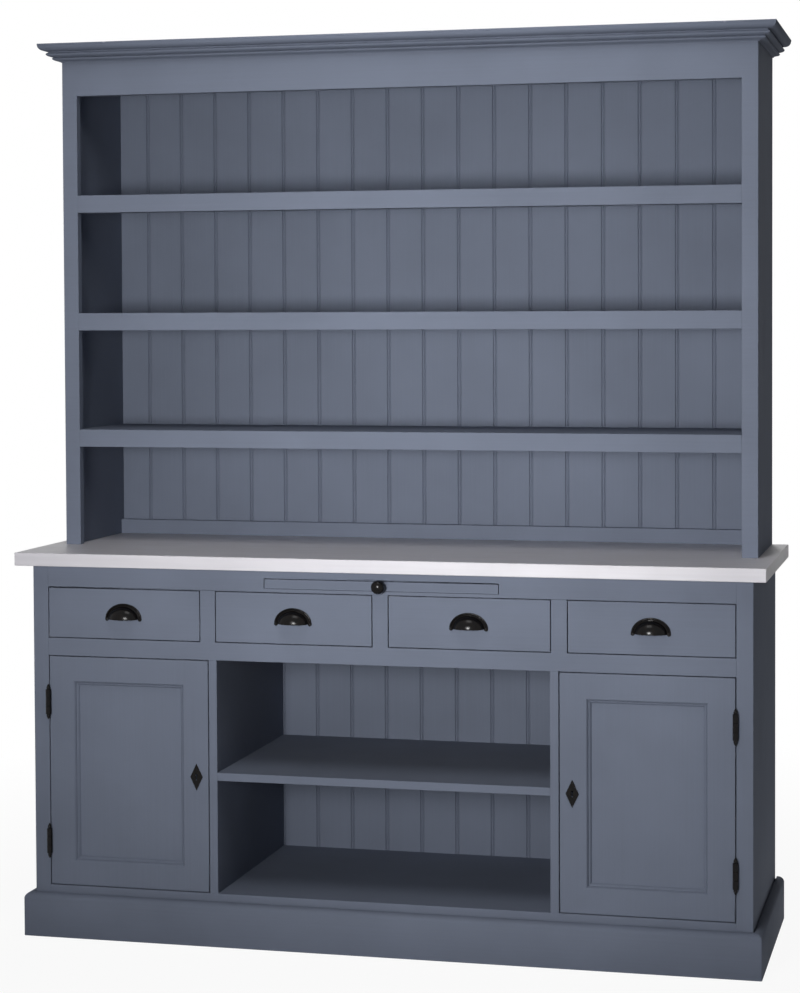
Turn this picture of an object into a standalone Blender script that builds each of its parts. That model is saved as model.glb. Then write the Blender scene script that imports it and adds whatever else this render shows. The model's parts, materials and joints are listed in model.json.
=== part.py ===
"""A painted kitchen dresser: an open hutch of shelves standing on a base cupboard.

Metres, +Z up. The front looks along -Y. The origin is on the floor, in the middle of the box round the whole piece.
"""

import math

import bmesh
import bpy
from mathutils import Matrix, Vector

# Whole piece
OVERALL_HEIGHT = 2.203
BASE_DEPTH = 0.510
SEAT = 0.0003  # what touching pieces keep between them
FRAME_THICKNESS = 0.022  # both face frames, the doors and the drawer fronts
BACK_THICKNESS = 0.015
OVERRUN = 0.01  # how far a cut passes the piece it goes through

# Base carcass
BASE_WIDTH = 1.768
BASE_HEIGHT = 0.9125
BASE_SIDE_THICKNESS = 0.020
OUTER_STILE_WIDTH = 0.039
INNER_STILE_WIDTH = 0.0205
BAY_WIDTH = 0.820
PARTITION_THICKNESS = 0.015
BOTTOM_RAIL_TOP = 0.124
BOTTOM_BOARD_THICKNESS = 0.018
TOP_RAIL_WIDTH = 0.0538
DRAWER_RAIL_WIDTH = 0.0432
MUNTIN_WIDTH = 0.038
DRAWER_OPENING_HEIGHT = 0.125
DUST_BOARD_THICKNESS = 0.012
BAY_SHELF_SHARE = 0.519  # of the height between the bottom rail and the drawer rail
BAY_SHELF_THICKNESS = 0.0195

# Plinth and worktop
PLINTH_HEIGHT = 0.106
PLINTH_PROJECTION = 0.0225
WORKTOP_THICKNESS = 0.032
WORKTOP_SIDE_OVERHANG = 0.033
WORKTOP_FRONT_OVERHANG = 0.035
WORKTOP_EASING = 0.0015

# Hutch
HUTCH_SETBACK = 0.008  # from the base's side to the hutch's side
HUTCH_DEPTH = 0.333
HUTCH_SIDE_THICKNESS = 0.022
HUTCH_STILE_WIDTH = 0.039
FRIEZE_WIDTH = 0.125
HUTCH_TOP_DROP = 0.003  # the frame stops this far below the top of the cornice
TOP_BOARD_RISE = 0.065  # above the frieze's underside
TOP_BOARD_THICKNESS = 0.018
SHELF_TOP_SHARES = (("bottom", 0.2575), ("middle", 0.5173), ("top", 0.7792))  # of the opening's height
SHELF_THICKNESS = 0.020
SHELF_LIP_HEIGHT = 0.0435
BACK_RAIL_HEIGHT = 0.037
BACK_RAIL_THICKNESS = 0.017
CORNICE_HEIGHT = 0.043
CORNICE_PROJECTION = 0.0465

# Tongued and grooved boards of both backs
BOARD_PITCH = 0.0943
BASE_FIRST_JOINT = 0.0587  # from the middle to the nearest joint on its right
HUTCH_FIRST_JOINT = 0.0687
GROOVE_WIDTH = 0.004
GROOVE_DEPTH = 0.003
BEAD_WIDTH = 0.007

# Drawers
DRAWER_GAP = 0.002
DRAWER_BOX_WALL = 0.012
DRAWER_BOX_FLOOR = 0.008
DRAWER_BOX_TOP_ROOM = 0.030  # between the box and the ceiling of its opening
DRAWER_BOX_BACK_ROOM = 0.0327  # between the box and the back boards
DRAWER_BOX_PLAY = 0.0035
PULL_WIDTH = 0.094
PULL_HEIGHT = 0.038
PULL_RISE = 0.007  # from the drawer's middle up to the middle of the pull's arch
PULL_PROJECTION = 0.025
PULL_WALL = 0.003
PULL_RIM_WIDTH = 0.009  # the flat rim round the cup
PULL_RIM_THICKNESS = 0.0024
PULL_FOOT_DIAMETER = 0.0095
PULL_FOOT_THICKNESS = 0.0034

# Pull-out board
BOARD_WIDTH = 0.575
BOARD_THICKNESS = 0.0226
BOARD_BACK_ROOM = 0.055  # between the board and the back boards
BOARD_GAP = 0.0014
BOARD_SLOT_RISE = 0.0089  # the strip of rail left below the slot
KNOB_DIAMETER = 0.032
KNOB_PROJECTION = 0.030

# Doors
DOOR_GAP = 0.0022
DOOR_STILE_WIDTH = 0.062
DOOR_RAIL_WIDTH = 0.0585
PANEL_RECESS = 0.010
PANEL_THICKNESS = 0.009
BEAD_STEPS = ((0.0015, 0.0015), (0.0035, 0.0015), (0.003, 0.0), (0.0035, -0.0035), (0.0015, -0.0065))  # in, out
BEAD_START = 0.0055  # how far below the door's face the moulding begins
LOCK_HEIGHT_SHARE = 0.4978  # of the door's height
ESCUTCHEON_INSET = 0.030
ESCUTCHEON_WIDTH = 0.0315
ESCUTCHEON_HEIGHT = 0.066
ESCUTCHEON_THICKNESS = 0.002
KEYHOLE_EYE_RADIUS = 0.003
KEYHOLE_SLOT_WIDTH = 0.003
KEYHOLE_LENGTH = 0.015
LOCK_CASE_WIDTH = 0.050
LOCK_CASE_HEIGHT = 0.060
LOCK_CASE_THICKNESS = 0.014
LOCK_CASE_INSET = 0.001
BOLT_LENGTH = 0.046
BOLT_HEIGHT = 0.012
BOLT_THICKNESS = 0.006

# Hinges
HINGE_HEIGHT_SHARES = (("lower", 0.192), ("upper", 0.8018))  # of the door's height
LEAF_THICKNESS = 0.0007
BARREL_RADIUS = 0.0065
KNUCKLE_LENGTH = 0.020
PIN_RADIUS = 0.003
TIP_LENGTH = 0.013
TIP_NECK_RADIUS = 0.0048
LEAF_DEPTH = 0.018  # how far a leaf reaches back beside the door's edge

# Outlines, as shares of the sizes that they follow
PLINTH_PROFILE_SHARES = (  # out of the projection, up the height
    (0.0, 0.0), (1.0, 0.0), (1.0, 0.91), (0.97, 0.95), (0.87, 0.98), (0.70, 1.0), (0.0, 1.0),
)
CORNICE_PROFILE_SHARES = (
    (0.0, 0.0), (0.05, 0.0), (0.06, 0.09), (0.20, 0.12), (0.28, 0.19), (0.42, 0.22), (0.55, 0.31), (0.63, 0.42),
    (0.65, 0.49), (0.65, 0.59), (0.78, 0.62), (0.90, 0.70), (0.98, 0.80), (1.0, 0.89), (1.0, 1.0), (0.0, 1.0),
)
KNOB_PROFILE_SHARES = (  # of the radius, of the projection from the board
    (0.0, 1.0), (0.45, 0.97), (0.82, 0.86), (1.0, 0.68), (0.90, 0.50), (0.55, 0.36), (0.38, 0.25), (0.42, 0.12),
    (0.62, 0.06), (0.62, 0.0), (0.0, 0.0),
)
TIP_SHARES = ((1.0, 0.25), (0.45, 0.80), (0.0, 1.0))  # of the neck's radius, of the tip's length

# Counts
HINGE_SIDES = 16
KNOB_SIDES = 24
PULL_SEGMENTS = 24
PULL_RINGS = 12
EYE_POINTS = 8

# Places worked out from the sizes
BACK_Y = (BASE_DEPTH + WORKTOP_FRONT_OVERHANG) / 2
FRONT_Y = BACK_Y - BASE_DEPTH
BACK_FACE_Y = BACK_Y - BACK_THICKNESS
BEHIND_FRAME_Y = FRONT_Y + FRAME_THICKNESS + SEAT
BASE_HALF = BASE_WIDTH / 2
OPENING_HALF = BASE_HALF - OUTER_STILE_WIDTH
INSIDE_HALF = BASE_HALF - BASE_SIDE_THICKNESS
BAY_HALF = BAY_WIDTH / 2
DOOR_FREE_X = BAY_HALF + INNER_STILE_WIDTH + DOOR_GAP
HINGE_GAP = 2 * LEAF_THICKNESS + 3 * SEAT
DOOR_HINGE_X = OPENING_HALF - HINGE_GAP
HINGE_X = OPENING_HALF - HINGE_GAP / 2
HINGE_Y = FRONT_Y - BARREL_RADIUS - SEAT
DRAWER_CEILING_Z = BASE_HEIGHT - TOP_RAIL_WIDTH
DRAWER_FLOOR_Z = DRAWER_CEILING_Z - DRAWER_OPENING_HEIGHT
DRAWER_RAIL_UNDERSIDE = DRAWER_FLOOR_Z - DRAWER_RAIL_WIDTH
DRAWER_BOX_HEIGHT = DRAWER_OPENING_HEIGHT - DRAWER_BOX_TOP_ROOM
DRAWER_BOX_DEPTH = BACK_FACE_Y - DRAWER_BOX_BACK_ROOM - BEHIND_FRAME_Y
BAY_SHELF_TOP = BOTTOM_RAIL_TOP + BAY_SHELF_SHARE * (DRAWER_RAIL_UNDERSIDE - BOTTOM_RAIL_TOP)
BOARD_DEPTH = BACK_FACE_Y - BOARD_BACK_ROOM - FRONT_Y
DRAWER_OPENING_WIDTH = (2 * OPENING_HALF - 3 * MUNTIN_WIDTH) / 4
BOARD_Z = DRAWER_CEILING_Z + BOARD_SLOT_RISE
WORKTOP_Z = BASE_HEIGHT + SEAT
HUTCH_Z = WORKTOP_Z + WORKTOP_THICKNESS + SEAT
HUTCH_TOP_Z = OVERALL_HEIGHT - HUTCH_TOP_DROP
FRIEZE_UNDERSIDE = HUTCH_TOP_Z - FRIEZE_WIDTH
TOP_BOARD_UNDERSIDE = FRIEZE_UNDERSIDE + TOP_BOARD_RISE
HUTCH_HALF = BASE_HALF - HUTCH_SETBACK
HUTCH_FRONT_Y = BACK_Y - HUTCH_DEPTH
HUTCH_BEHIND_Y = HUTCH_FRONT_Y + FRAME_THICKNESS + SEAT
HUTCH_INSIDE_HALF = HUTCH_HALF - HUTCH_SIDE_THICKNESS
HUTCH_OPENING_HALF = HUTCH_HALF - HUTCH_STILE_WIDTH

# Finishes: colour, roughness, metallic
PAINT = ((0.148, 0.169, 0.222), 0.55, 0.0)
INNER_PAINT = ((0.146, 0.167, 0.219), 0.58, 0.0)
WORKTOP_PAINT = ((0.620, 0.605, 0.645), 0.45, 0.0)
BARE_WOOD = ((0.420, 0.300, 0.190), 0.65, 0.0)
BLACK_IRON = ((0.012, 0.012, 0.014), 0.38, 0.9)
STEEL = ((0.350, 0.350, 0.360), 0.40, 1.0)

for old in list(bpy.data.objects):
    bpy.data.objects.remove(old, do_unlink=True)

PARTS = bpy.data.collections.new("kitchen_dresser")
CUTTERS = bpy.data.collections.new("cutters")
bpy.context.scene.collection.children.link(PARTS)
bpy.context.scene.collection.children.link(CUTTERS)


def dress(obj, finish):
    """Give the object a material of its own in one of the finishes."""
    colour, roughness, metallic = finish
    material = bpy.data.materials.new(obj.name + "_finish")
    material.use_nodes = True
    shader = material.node_tree.nodes["Principled BSDF"]
    shader.inputs["Base Color"].default_value = (*colour, 1.0)
    shader.inputs["Roughness"].default_value = roughness
    shader.inputs["Metallic"].default_value = metallic
    obj.data.materials.clear()
    obj.data.materials.append(material)


def place(name, data, location, finish, parent=None):
    """Put a mesh or a curve in the model, at a place given in the model's own frame."""
    obj = bpy.data.objects.new(name, data)
    PARTS.objects.link(obj)
    obj.location = Vector(location)
    if parent:
        obj.parent = parent
        obj.location -= parent.location
    dress(obj, finish)
    return obj


def carrier(name, location):
    """An empty on a joint's axis, which carries the pieces that move together."""
    empty = bpy.data.objects.new(name, None)
    empty.location = location
    PARTS.objects.link(empty)
    return empty


def cube_mesh(name, size):
    bm = bmesh.new()
    bmesh.ops.create_cube(bm, size=1)
    bmesh.ops.scale(bm, vec=size, verts=bm.verts)
    mesh = bpy.data.meshes.new(name)
    bm.to_mesh(mesh)
    bm.free()
    return mesh


def board(name, low, high, finish=PAINT, parent=None):
    """A plain board between two opposite corners, its origin at its middle."""
    low, high = Vector(low), Vector(high)
    return place(name, cube_mesh(name, high - low), (low + high) / 2, finish, parent)


def cutter(name, low, high):
    low, high = Vector(low), Vector(high)
    obj = bpy.data.objects.new(name, cube_mesh(name, high - low))
    obj.location = (low + high) / 2
    CUTTERS.objects.link(obj)
    obj.hide_render = True
    obj.display_type = "WIRE"
    return obj


def boolean(obj, tool, operation):
    """Cut the object with the tool, or join the tool's shape to it."""
    step = obj.modifiers.new(tool.name, "BOOLEAN")
    step.operation = operation
    step.solver = "EXACT"
    step.object = tool


def finished_mesh(obj, name):
    """The object's mesh with its modifiers applied, to be shared by every copy of the piece."""
    bpy.context.view_layer.update()
    evaluated = obj.evaluated_get(bpy.context.evaluated_depsgraph_get())
    mesh = bpy.data.meshes.new_from_object(evaluated)
    mesh.name = name
    return mesh


def discard(*objects):
    for obj in objects:
        bpy.data.objects.remove(obj, do_unlink=True)


def mirrored(mesh):
    """The same piece for the other hand: its mesh mirrored in X."""
    bm = bmesh.new()
    bm.from_mesh(mesh)
    bmesh.ops.scale(bm, vec=(-1, 1, 1), verts=bm.verts)
    bmesh.ops.reverse_faces(bm, faces=bm.faces)
    copy = bpy.data.meshes.new(mesh.name + "_mirrored")
    bm.to_mesh(copy)
    bm.free()
    return copy


def outline_curve(name, outlines, thickness):
    """A flat outline, with any holes, as a filled curve of the given thickness."""
    curve = bpy.data.curves.new(name, "CURVE")
    curve.dimensions = "2D"
    curve.fill_mode = "BOTH"
    curve.extrude = thickness / 2
    for points in outlines:
        spline = curve.splines.new("POLY")
        spline.points.add(len(points) - 1)
        for point, (x, y) in zip(spline.points, points):
            point.co = (x, y, 0.0, 1.0)
        spline.use_cyclic_u = True
    return curve


def screw(obj, steps):
    """Turn a profile, drawn down its outer side, round its own Z axis."""
    turn = obj.modifiers.new("turned", "SCREW")
    turn.steps = steps
    turn.render_steps = steps
    turn.use_merge_vertices = True
    turn.merge_threshold = 0.00001
    turn.use_normal_calculate = True


def profile_mesh(name, points):
    """An open line of points (radius, height), ready to be turned."""
    bm = bmesh.new()
    verts = [bm.verts.new((r, 0.0, z)) for r, z in points]
    for a, b in zip(verts, verts[1:]):
        bm.edges.new((a, b))
    mesh = bpy.data.meshes.new(name)
    bm.to_mesh(mesh)
    bm.free()
    return mesh


def moulding(name, profile, half_width, front_y, low_z, finish):
    """A moulding mitred round the front and both sides: a profile of (out, up) drawn along the three runs."""
    stations = ((-1, BACK_Y, 0), (-1, front_y, 1), (1, front_y, 1), (1, BACK_Y, 0))
    bm = bmesh.new()

    def spots(side, y, mitred):
        return [Vector((side * (half_width + out), y - out * mitred, low_z + up)) for out, up in profile]

    ring = [bm.verts.new(spot) for spot in spots(*stations[0])]
    face = bmesh.ops.contextual_create(bm, geom=ring)["faces"][0]
    for step, station in enumerate(stations[1:]):
        grown = bmesh.ops.extrude_face_region(bm, geom=[face])["geom"]
        if step:
            bmesh.ops.delete(bm, geom=[face], context="FACES_ONLY")
        face = next(item for item in grown if isinstance(item, bmesh.types.BMFace))
        before = [vert.co.copy() for vert in ring]
        ring = [min(face.verts, key=lambda vert: (vert.co - spot).length) for spot in before]
        for vert, spot in zip(ring, spots(*station)):
            vert.co = spot
    bmesh.ops.recalc_face_normals(bm, faces=bm.faces)
    mesh = bpy.data.meshes.new(name)
    bm.to_mesh(mesh)
    bm.free()
    return place(name, mesh, (0.0, 0.0, 0.0), finish)


def sized(shares, width, height, start=0.0):
    """An outline's shares as real sizes, none of it nearer the wall than start."""
    return [(max(start, across * width), up * height) for across, up in shares]


def joint_places(half_width, first):
    """Where the joints of the boards fall across a back."""
    count = int((half_width - BEAD_WIDTH - 2 * GROOVE_WIDTH) / BOARD_PITCH) + 1
    places = [first + k * BOARD_PITCH for k in range(-count, count + 1)]
    return [x for x in places if abs(x) < half_width - BEAD_WIDTH - 2 * GROOVE_WIDTH]


def grooved_back(name, half_width, first, low_z, high_z):
    """A back of tongued and grooved boards: at each joint a V groove, a bead and a second V groove."""
    points = [(-half_width, BACK_THICKNESS), (-half_width, 0.0)]
    for x in joint_places(half_width, first):
        for start in (x - GROOVE_WIDTH / 2, x + BEAD_WIDTH - GROOVE_WIDTH / 2):
            points += [(start, 0.0), (start + GROOVE_WIDTH / 2, GROOVE_DEPTH), (start + GROOVE_WIDTH, 0.0)]
    points += [(half_width, 0.0), (half_width, BACK_THICKNESS)]
    height = high_z - low_z
    curve = outline_curve(name, [points], height)
    return place(name, curve, (0.0, BACK_FACE_Y, low_z + height / 2), INNER_PAINT)


# The base: sides, partitions, boards and back
for side, word in ((-1, "left"), (1, "right")):
    outer, inner = side * BASE_HALF, side * INSIDE_HALF
    board(f"base_{word}_side", (min(outer, inner), BEHIND_FRAME_Y, 0.0), (max(outer, inner), BACK_Y, BASE_HEIGHT))
    near, far = side * BAY_HALF, side * (BAY_HALF + PARTITION_THICKNESS)
    board(
        f"base_{word}_partition",
        (min(near, far), BEHIND_FRAME_Y, BOTTOM_RAIL_TOP + SEAT),
        (max(near, far), BACK_FACE_Y - SEAT, DRAWER_FLOOR_Z - DUST_BOARD_THICKNESS - SEAT),
        INNER_PAINT,
    )

BOARD_HALF = INSIDE_HALF - SEAT
board(
    "base_bottom_board",
    (-BOARD_HALF, BEHIND_FRAME_Y, BOTTOM_RAIL_TOP - BOTTOM_BOARD_THICKNESS),
    (BOARD_HALF, BACK_FACE_Y - SEAT, BOTTOM_RAIL_TOP),
    INNER_PAINT,
)
board(
    "drawer_dust_board",
    (-BOARD_HALF, BEHIND_FRAME_Y, DRAWER_FLOOR_Z - DUST_BOARD_THICKNESS),
    (BOARD_HALF, BACK_FACE_Y - SEAT, DRAWER_FLOOR_Z),
    BARE_WOOD,
)
board(
    "upper_dust_board",
    (-BOARD_HALF, BEHIND_FRAME_Y, DRAWER_CEILING_Z),
    (BOARD_HALF, BACK_FACE_Y - SEAT, BOARD_Z - SEAT),
    BARE_WOOD,
)
board(
    "centre_bay_shelf",
    (-BAY_HALF + SEAT, FRONT_Y, BAY_SHELF_TOP - BAY_SHELF_THICKNESS),
    (BAY_HALF - SEAT, BACK_FACE_Y - SEAT, BAY_SHELF_TOP),
    INNER_PAINT,
)
grooved_back("base_back_boards", BOARD_HALF, BASE_FIRST_JOINT, 0.0, BASE_HEIGHT)

# The base's face frame
for side, word in ((-1, "left"), (1, "right")):
    outer, inner = side * BASE_HALF, side * OPENING_HALF
    board(
        f"base_{word}_stile",
        (min(outer, inner), FRONT_Y, 0.0),
        (max(outer, inner), FRONT_Y + FRAME_THICKNESS, BASE_HEIGHT),
    )
    near, far = side * BAY_HALF, side * (BAY_HALF + INNER_STILE_WIDTH)
    board(
        f"base_{word}_inner_stile",
        (min(near, far), FRONT_Y, BOTTOM_RAIL_TOP + SEAT),
        (max(near, far), FRONT_Y + FRAME_THICKNESS, DRAWER_RAIL_UNDERSIDE - SEAT),
    )

RAIL_HALF = OPENING_HALF - SEAT
board(
    "base_bottom_rail",
    (-RAIL_HALF, FRONT_Y, 0.0),
    (RAIL_HALF, FRONT_Y + FRAME_THICKNESS, BOTTOM_RAIL_TOP),
)

drawer_centres = [
    (index - 3 / 2) * (DRAWER_OPENING_WIDTH + MUNTIN_WIDTH) for index in range(4)
]
comb = [(-RAIL_HALF, DRAWER_RAIL_UNDERSIDE), (RAIL_HALF, DRAWER_RAIL_UNDERSIDE), (RAIL_HALF, DRAWER_FLOOR_Z)]
for centre in reversed(drawer_centres[1:]):
    right = centre - DRAWER_OPENING_WIDTH / 2
    left = right - MUNTIN_WIDTH
    comb += [
        (right, DRAWER_FLOOR_Z),
        (right, DRAWER_CEILING_Z - SEAT),
        (left, DRAWER_CEILING_Z - SEAT),
        (left, DRAWER_FLOOR_Z),
    ]
comb.append((-RAIL_HALF, DRAWER_FLOOR_Z))
drawer_rail = place(
    "base_drawer_rail",
    outline_curve("base_drawer_rail", [comb], FRAME_THICKNESS),
    (0.0, FRONT_Y + FRAME_THICKNESS / 2, 0.0),
    PAINT,
)
drawer_rail.rotation_euler.x = math.pi / 2

top_rail = board(
    "base_top_rail",
    (-RAIL_HALF, FRONT_Y, DRAWER_CEILING_Z),
    (RAIL_HALF, FRONT_Y + FRAME_THICKNESS, BASE_HEIGHT),
)
SLOT_HALF = BOARD_WIDTH / 2 + BOARD_GAP
board_slot = cutter(
    "board_slot",
    (-SLOT_HALF, FRONT_Y - OVERRUN, BOARD_Z - SEAT),
    (SLOT_HALF, FRONT_Y + FRAME_THICKNESS + OVERRUN, BOARD_Z + BOARD_THICKNESS + BOARD_GAP),
)
boolean(top_rail, board_slot, "DIFFERENCE")

# Plinth and worktop
moulding(
    "plinth",
    sized(PLINTH_PROFILE_SHARES, PLINTH_PROJECTION, PLINTH_HEIGHT, SEAT),
    BASE_HALF,
    FRONT_Y,
    0.0,
    PAINT,
)
worktop = board(
    "worktop",
    (-BASE_HALF - WORKTOP_SIDE_OVERHANG, FRONT_Y - WORKTOP_FRONT_OVERHANG, WORKTOP_Z),
    (BASE_HALF + WORKTOP_SIDE_OVERHANG, BACK_Y, WORKTOP_Z + WORKTOP_THICKNESS),
    WORKTOP_PAINT,
)
easing = worktop.modifiers.new("eased_edges", "BEVEL")
easing.width = WORKTOP_EASING
easing.segments = 1

# The hutch: sides, frame, boards and back
for side, word in ((-1, "left"), (1, "right")):
    outer, inner = side * HUTCH_HALF, side * HUTCH_INSIDE_HALF
    board(
        f"hutch_{word}_side",
        (min(outer, inner), HUTCH_BEHIND_Y, HUTCH_Z),
        (max(outer, inner), BACK_Y, HUTCH_TOP_Z),
    )

arch = [
    (-HUTCH_HALF, HUTCH_Z),
    (-HUTCH_OPENING_HALF, HUTCH_Z),
    (-HUTCH_OPENING_HALF, FRIEZE_UNDERSIDE),
    (HUTCH_OPENING_HALF, FRIEZE_UNDERSIDE),
    (HUTCH_OPENING_HALF, HUTCH_Z),
    (HUTCH_HALF, HUTCH_Z),
    (HUTCH_HALF, HUTCH_TOP_Z),
    (-HUTCH_HALF, HUTCH_TOP_Z),
]
hutch_frame = place(
    "hutch_face_frame",
    outline_curve("hutch_face_frame", [arch], FRAME_THICKNESS),
    (0.0, HUTCH_FRONT_Y + FRAME_THICKNESS / 2, 0.0),
    PAINT,
)
hutch_frame.rotation_euler.x = math.pi / 2

HUTCH_BOARD_HALF = HUTCH_INSIDE_HALF - SEAT
board(
    "hutch_top_board",
    (-HUTCH_BOARD_HALF, HUTCH_BEHIND_Y, TOP_BOARD_UNDERSIDE),
    (HUTCH_BOARD_HALF, BACK_FACE_Y - SEAT, TOP_BOARD_UNDERSIDE + TOP_BOARD_THICKNESS),
    INNER_PAINT,
)
LIP_HALF = HUTCH_OPENING_HALF - SEAT


def lipped_shelf(name, top):
    """A shelf board between the sides, with a deeper lip between the stiles along its front."""
    depth = BACK_FACE_Y - SEAT - HUTCH_BEHIND_Y
    bm = bmesh.new()
    bmesh.ops.create_cube(bm, size=1)
    bmesh.ops.scale(bm, vec=(2 * HUTCH_BOARD_HALF, depth, SHELF_THICKNESS), verts=bm.verts)
    lip_back = SHELF_THICKNESS - depth / 2
    for spot, normal in (((-LIP_HALF, 0, 0), (1, 0, 0)), ((LIP_HALF, 0, 0), (1, 0, 0)), ((0, lip_back, 0), (0, 1, 0))):
        bmesh.ops.bisect_plane(
            bm, geom=bm.verts[:] + bm.edges[:] + bm.faces[:], plane_co=spot, plane_no=normal)
    for direction, reach in (((0, -1, 0), FRAME_THICKNESS + SEAT), ((0, 0, -1), SHELF_LIP_HEIGHT - SHELF_THICKNESS)):
        bm.normal_update()
        between = [
            face for face in bm.faces
            if face.normal.dot(Vector(direction)) > 0.5
            and abs(face.calc_center_median().x) < LIP_HALF
            and face.calc_center_median().y < lip_back
        ]
        grown = bmesh.ops.extrude_face_region(bm, geom=between)["geom"]
        bmesh.ops.delete(bm, geom=between, context="FACES_ONLY")
        verts = [item for item in grown if isinstance(item, bmesh.types.BMVert)]
        bmesh.ops.translate(bm, vec=Vector(direction) * reach, verts=verts)
    mesh = bpy.data.meshes.new(name)
    bm.to_mesh(mesh)
    bm.free()
    middle = (0.0, HUTCH_BEHIND_Y + depth / 2, top - SHELF_THICKNESS / 2)
    return place(name, mesh, middle, INNER_PAINT)


for word, share in SHELF_TOP_SHARES:
    lipped_shelf(f"hutch_{word}_shelf", HUTCH_Z + share * (FRIEZE_UNDERSIDE - HUTCH_Z))
board(
    "hutch_back_rail",
    (-HUTCH_BOARD_HALF, BACK_FACE_Y - SEAT - BACK_RAIL_THICKNESS, HUTCH_Z),
    (HUTCH_BOARD_HALF, BACK_FACE_Y - SEAT, HUTCH_Z + BACK_RAIL_HEIGHT),
    INNER_PAINT,
)
grooved_back("hutch_back_boards", HUTCH_BOARD_HALF, HUTCH_FIRST_JOINT, HUTCH_Z, HUTCH_TOP_Z)
moulding(
    "cornice",
    sized(CORNICE_PROFILE_SHARES, CORNICE_PROJECTION, CORNICE_HEIGHT, SEAT),
    HUTCH_HALF,
    HUTCH_FRONT_Y,
    OVERALL_HEIGHT - CORNICE_HEIGHT,
    PAINT,
)


def ellipsoid(name, radii):
    bm = bmesh.new()
    bmesh.ops.create_uvsphere(bm, u_segments=PULL_SEGMENTS, v_segments=PULL_RINGS, radius=1)
    bmesh.ops.scale(bm, vec=radii, verts=bm.verts)
    mesh = bpy.data.meshes.new(name)
    bm.to_mesh(mesh)
    bm.free()
    obj = bpy.data.objects.new(name, mesh)
    CUTTERS.objects.link(obj)
    obj.hide_render = True
    obj.display_type = "WIRE"
    return obj


def disc(name, radii, low_y, high_y, x=0.0):
    """A round or oval plate that faces the front."""
    bm = bmesh.new()
    bmesh.ops.create_cone(bm, cap_ends=True, segments=PULL_SEGMENTS, radius1=1, radius2=1, depth=1)
    turn = Matrix.Rotation(math.pi / 2, 3, "X")
    bmesh.ops.rotate(bm, matrix=turn, verts=bm.verts)
    bmesh.ops.scale(bm, vec=(radii[0], high_y - low_y, radii[1]), verts=bm.verts)
    bmesh.ops.translate(bm, vec=(x, (low_y + high_y) / 2, 0.0), verts=bm.verts)
    mesh = bpy.data.meshes.new(name)
    bm.to_mesh(mesh)
    bm.free()
    obj = bpy.data.objects.new(name, mesh)
    CUTTERS.objects.link(obj)
    return obj


def cup_pull_mesh():
    """A quarter of a hollow egg on a flat rim, open below for the fingers, with a round screw foot at each end.

    Its origin is on the drawer's face, in the middle of its straight lower edge.
    """
    half = PULL_WIDTH / 2
    shell = disc("pull_rim", (half, PULL_HEIGHT), -PULL_RIM_THICKNESS, OVERRUN)
    cup = (half - PULL_RIM_WIDTH, PULL_PROJECTION, PULL_HEIGHT - PULL_RIM_WIDTH)
    outside = ellipsoid("pull_cup", cup)
    inside = ellipsoid("pull_hollow", [radius - PULL_WALL for radius in cup])
    reach = PULL_WIDTH
    behind = cutter("pull_behind", (-reach, 0.0, -reach), (reach, reach, reach))
    below = cutter("pull_below", (-reach, -reach, -reach), (reach, reach, 0.0))
    boolean(shell, outside, "UNION")
    boolean(shell, inside, "DIFFERENCE")
    boolean(shell, behind, "DIFFERENCE")
    boolean(shell, below, "DIFFERENCE")
    foot = PULL_FOOT_DIAMETER / 2
    spot = half - foot - SEAT
    feet = [disc(f"pull_foot_{side}", (foot, foot), -PULL_FOOT_THICKNESS, 0.0, side * spot) for side in (-1, 1)]
    for tool in feet:
        boolean(shell, tool, "UNION")
    mesh = finished_mesh(shell, "cup_pull")
    discard(shell, outside, inside, behind, below, *feet)
    return mesh


def drawer_box_mesh(width, depth, height):
    """An open box with its origin at its middle."""
    body = cutter("box_body", (-width / 2, -depth / 2, -height / 2), (width / 2, depth / 2, height / 2))
    room = cutter(
        "box_room",
        (-width / 2 + DRAWER_BOX_WALL, -depth / 2 + DRAWER_BOX_WALL, -height / 2 + DRAWER_BOX_FLOOR),
        (width / 2 - DRAWER_BOX_WALL, depth / 2 - DRAWER_BOX_WALL, height / 2 + OVERRUN),
    )
    boolean(body, room, "DIFFERENCE")
    mesh = finished_mesh(body, "drawer_box")
    discard(body, room)
    return mesh


# Four drawers, each on an empty at the middle of its front
DRAWER_WIDTH = DRAWER_OPENING_WIDTH - 2 * DRAWER_GAP
DRAWER_HEIGHT = DRAWER_OPENING_HEIGHT - 2 * DRAWER_GAP
DRAWER_MIDDLE_Z = DRAWER_FLOOR_Z + DRAWER_OPENING_HEIGHT / 2
BOX_WIDTH = DRAWER_OPENING_WIDTH - 2 * DRAWER_BOX_PLAY
front_mesh = cube_mesh("drawer_front", (DRAWER_WIDTH, FRAME_THICKNESS, DRAWER_HEIGHT))
box_mesh = drawer_box_mesh(BOX_WIDTH, DRAWER_BOX_DEPTH, DRAWER_BOX_HEIGHT)
pull_mesh = cup_pull_mesh()
for number, centre in enumerate(drawer_centres, start=1):
    slide = carrier(f"drawer_{number}_slide", (centre, FRONT_Y, DRAWER_MIDDLE_Z))
    place(
        f"drawer_{number}_front",
        front_mesh.copy(),
        (centre, FRONT_Y + FRAME_THICKNESS / 2, DRAWER_MIDDLE_Z),
        PAINT,
        slide,
    )
    place(
        f"drawer_{number}_box",
        box_mesh.copy(),
        (centre, BEHIND_FRAME_Y + DRAWER_BOX_DEPTH / 2, DRAWER_FLOOR_Z + SEAT + DRAWER_BOX_HEIGHT / 2),
        BARE_WOOD,
        slide,
    )
    place(
        f"drawer_{number}_cup_pull",
        pull_mesh.copy(),
        (centre, FRONT_Y - SEAT, DRAWER_MIDDLE_Z - PULL_HEIGHT / 2 + PULL_RISE),
        BLACK_IRON,
        slide,
    )

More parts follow.
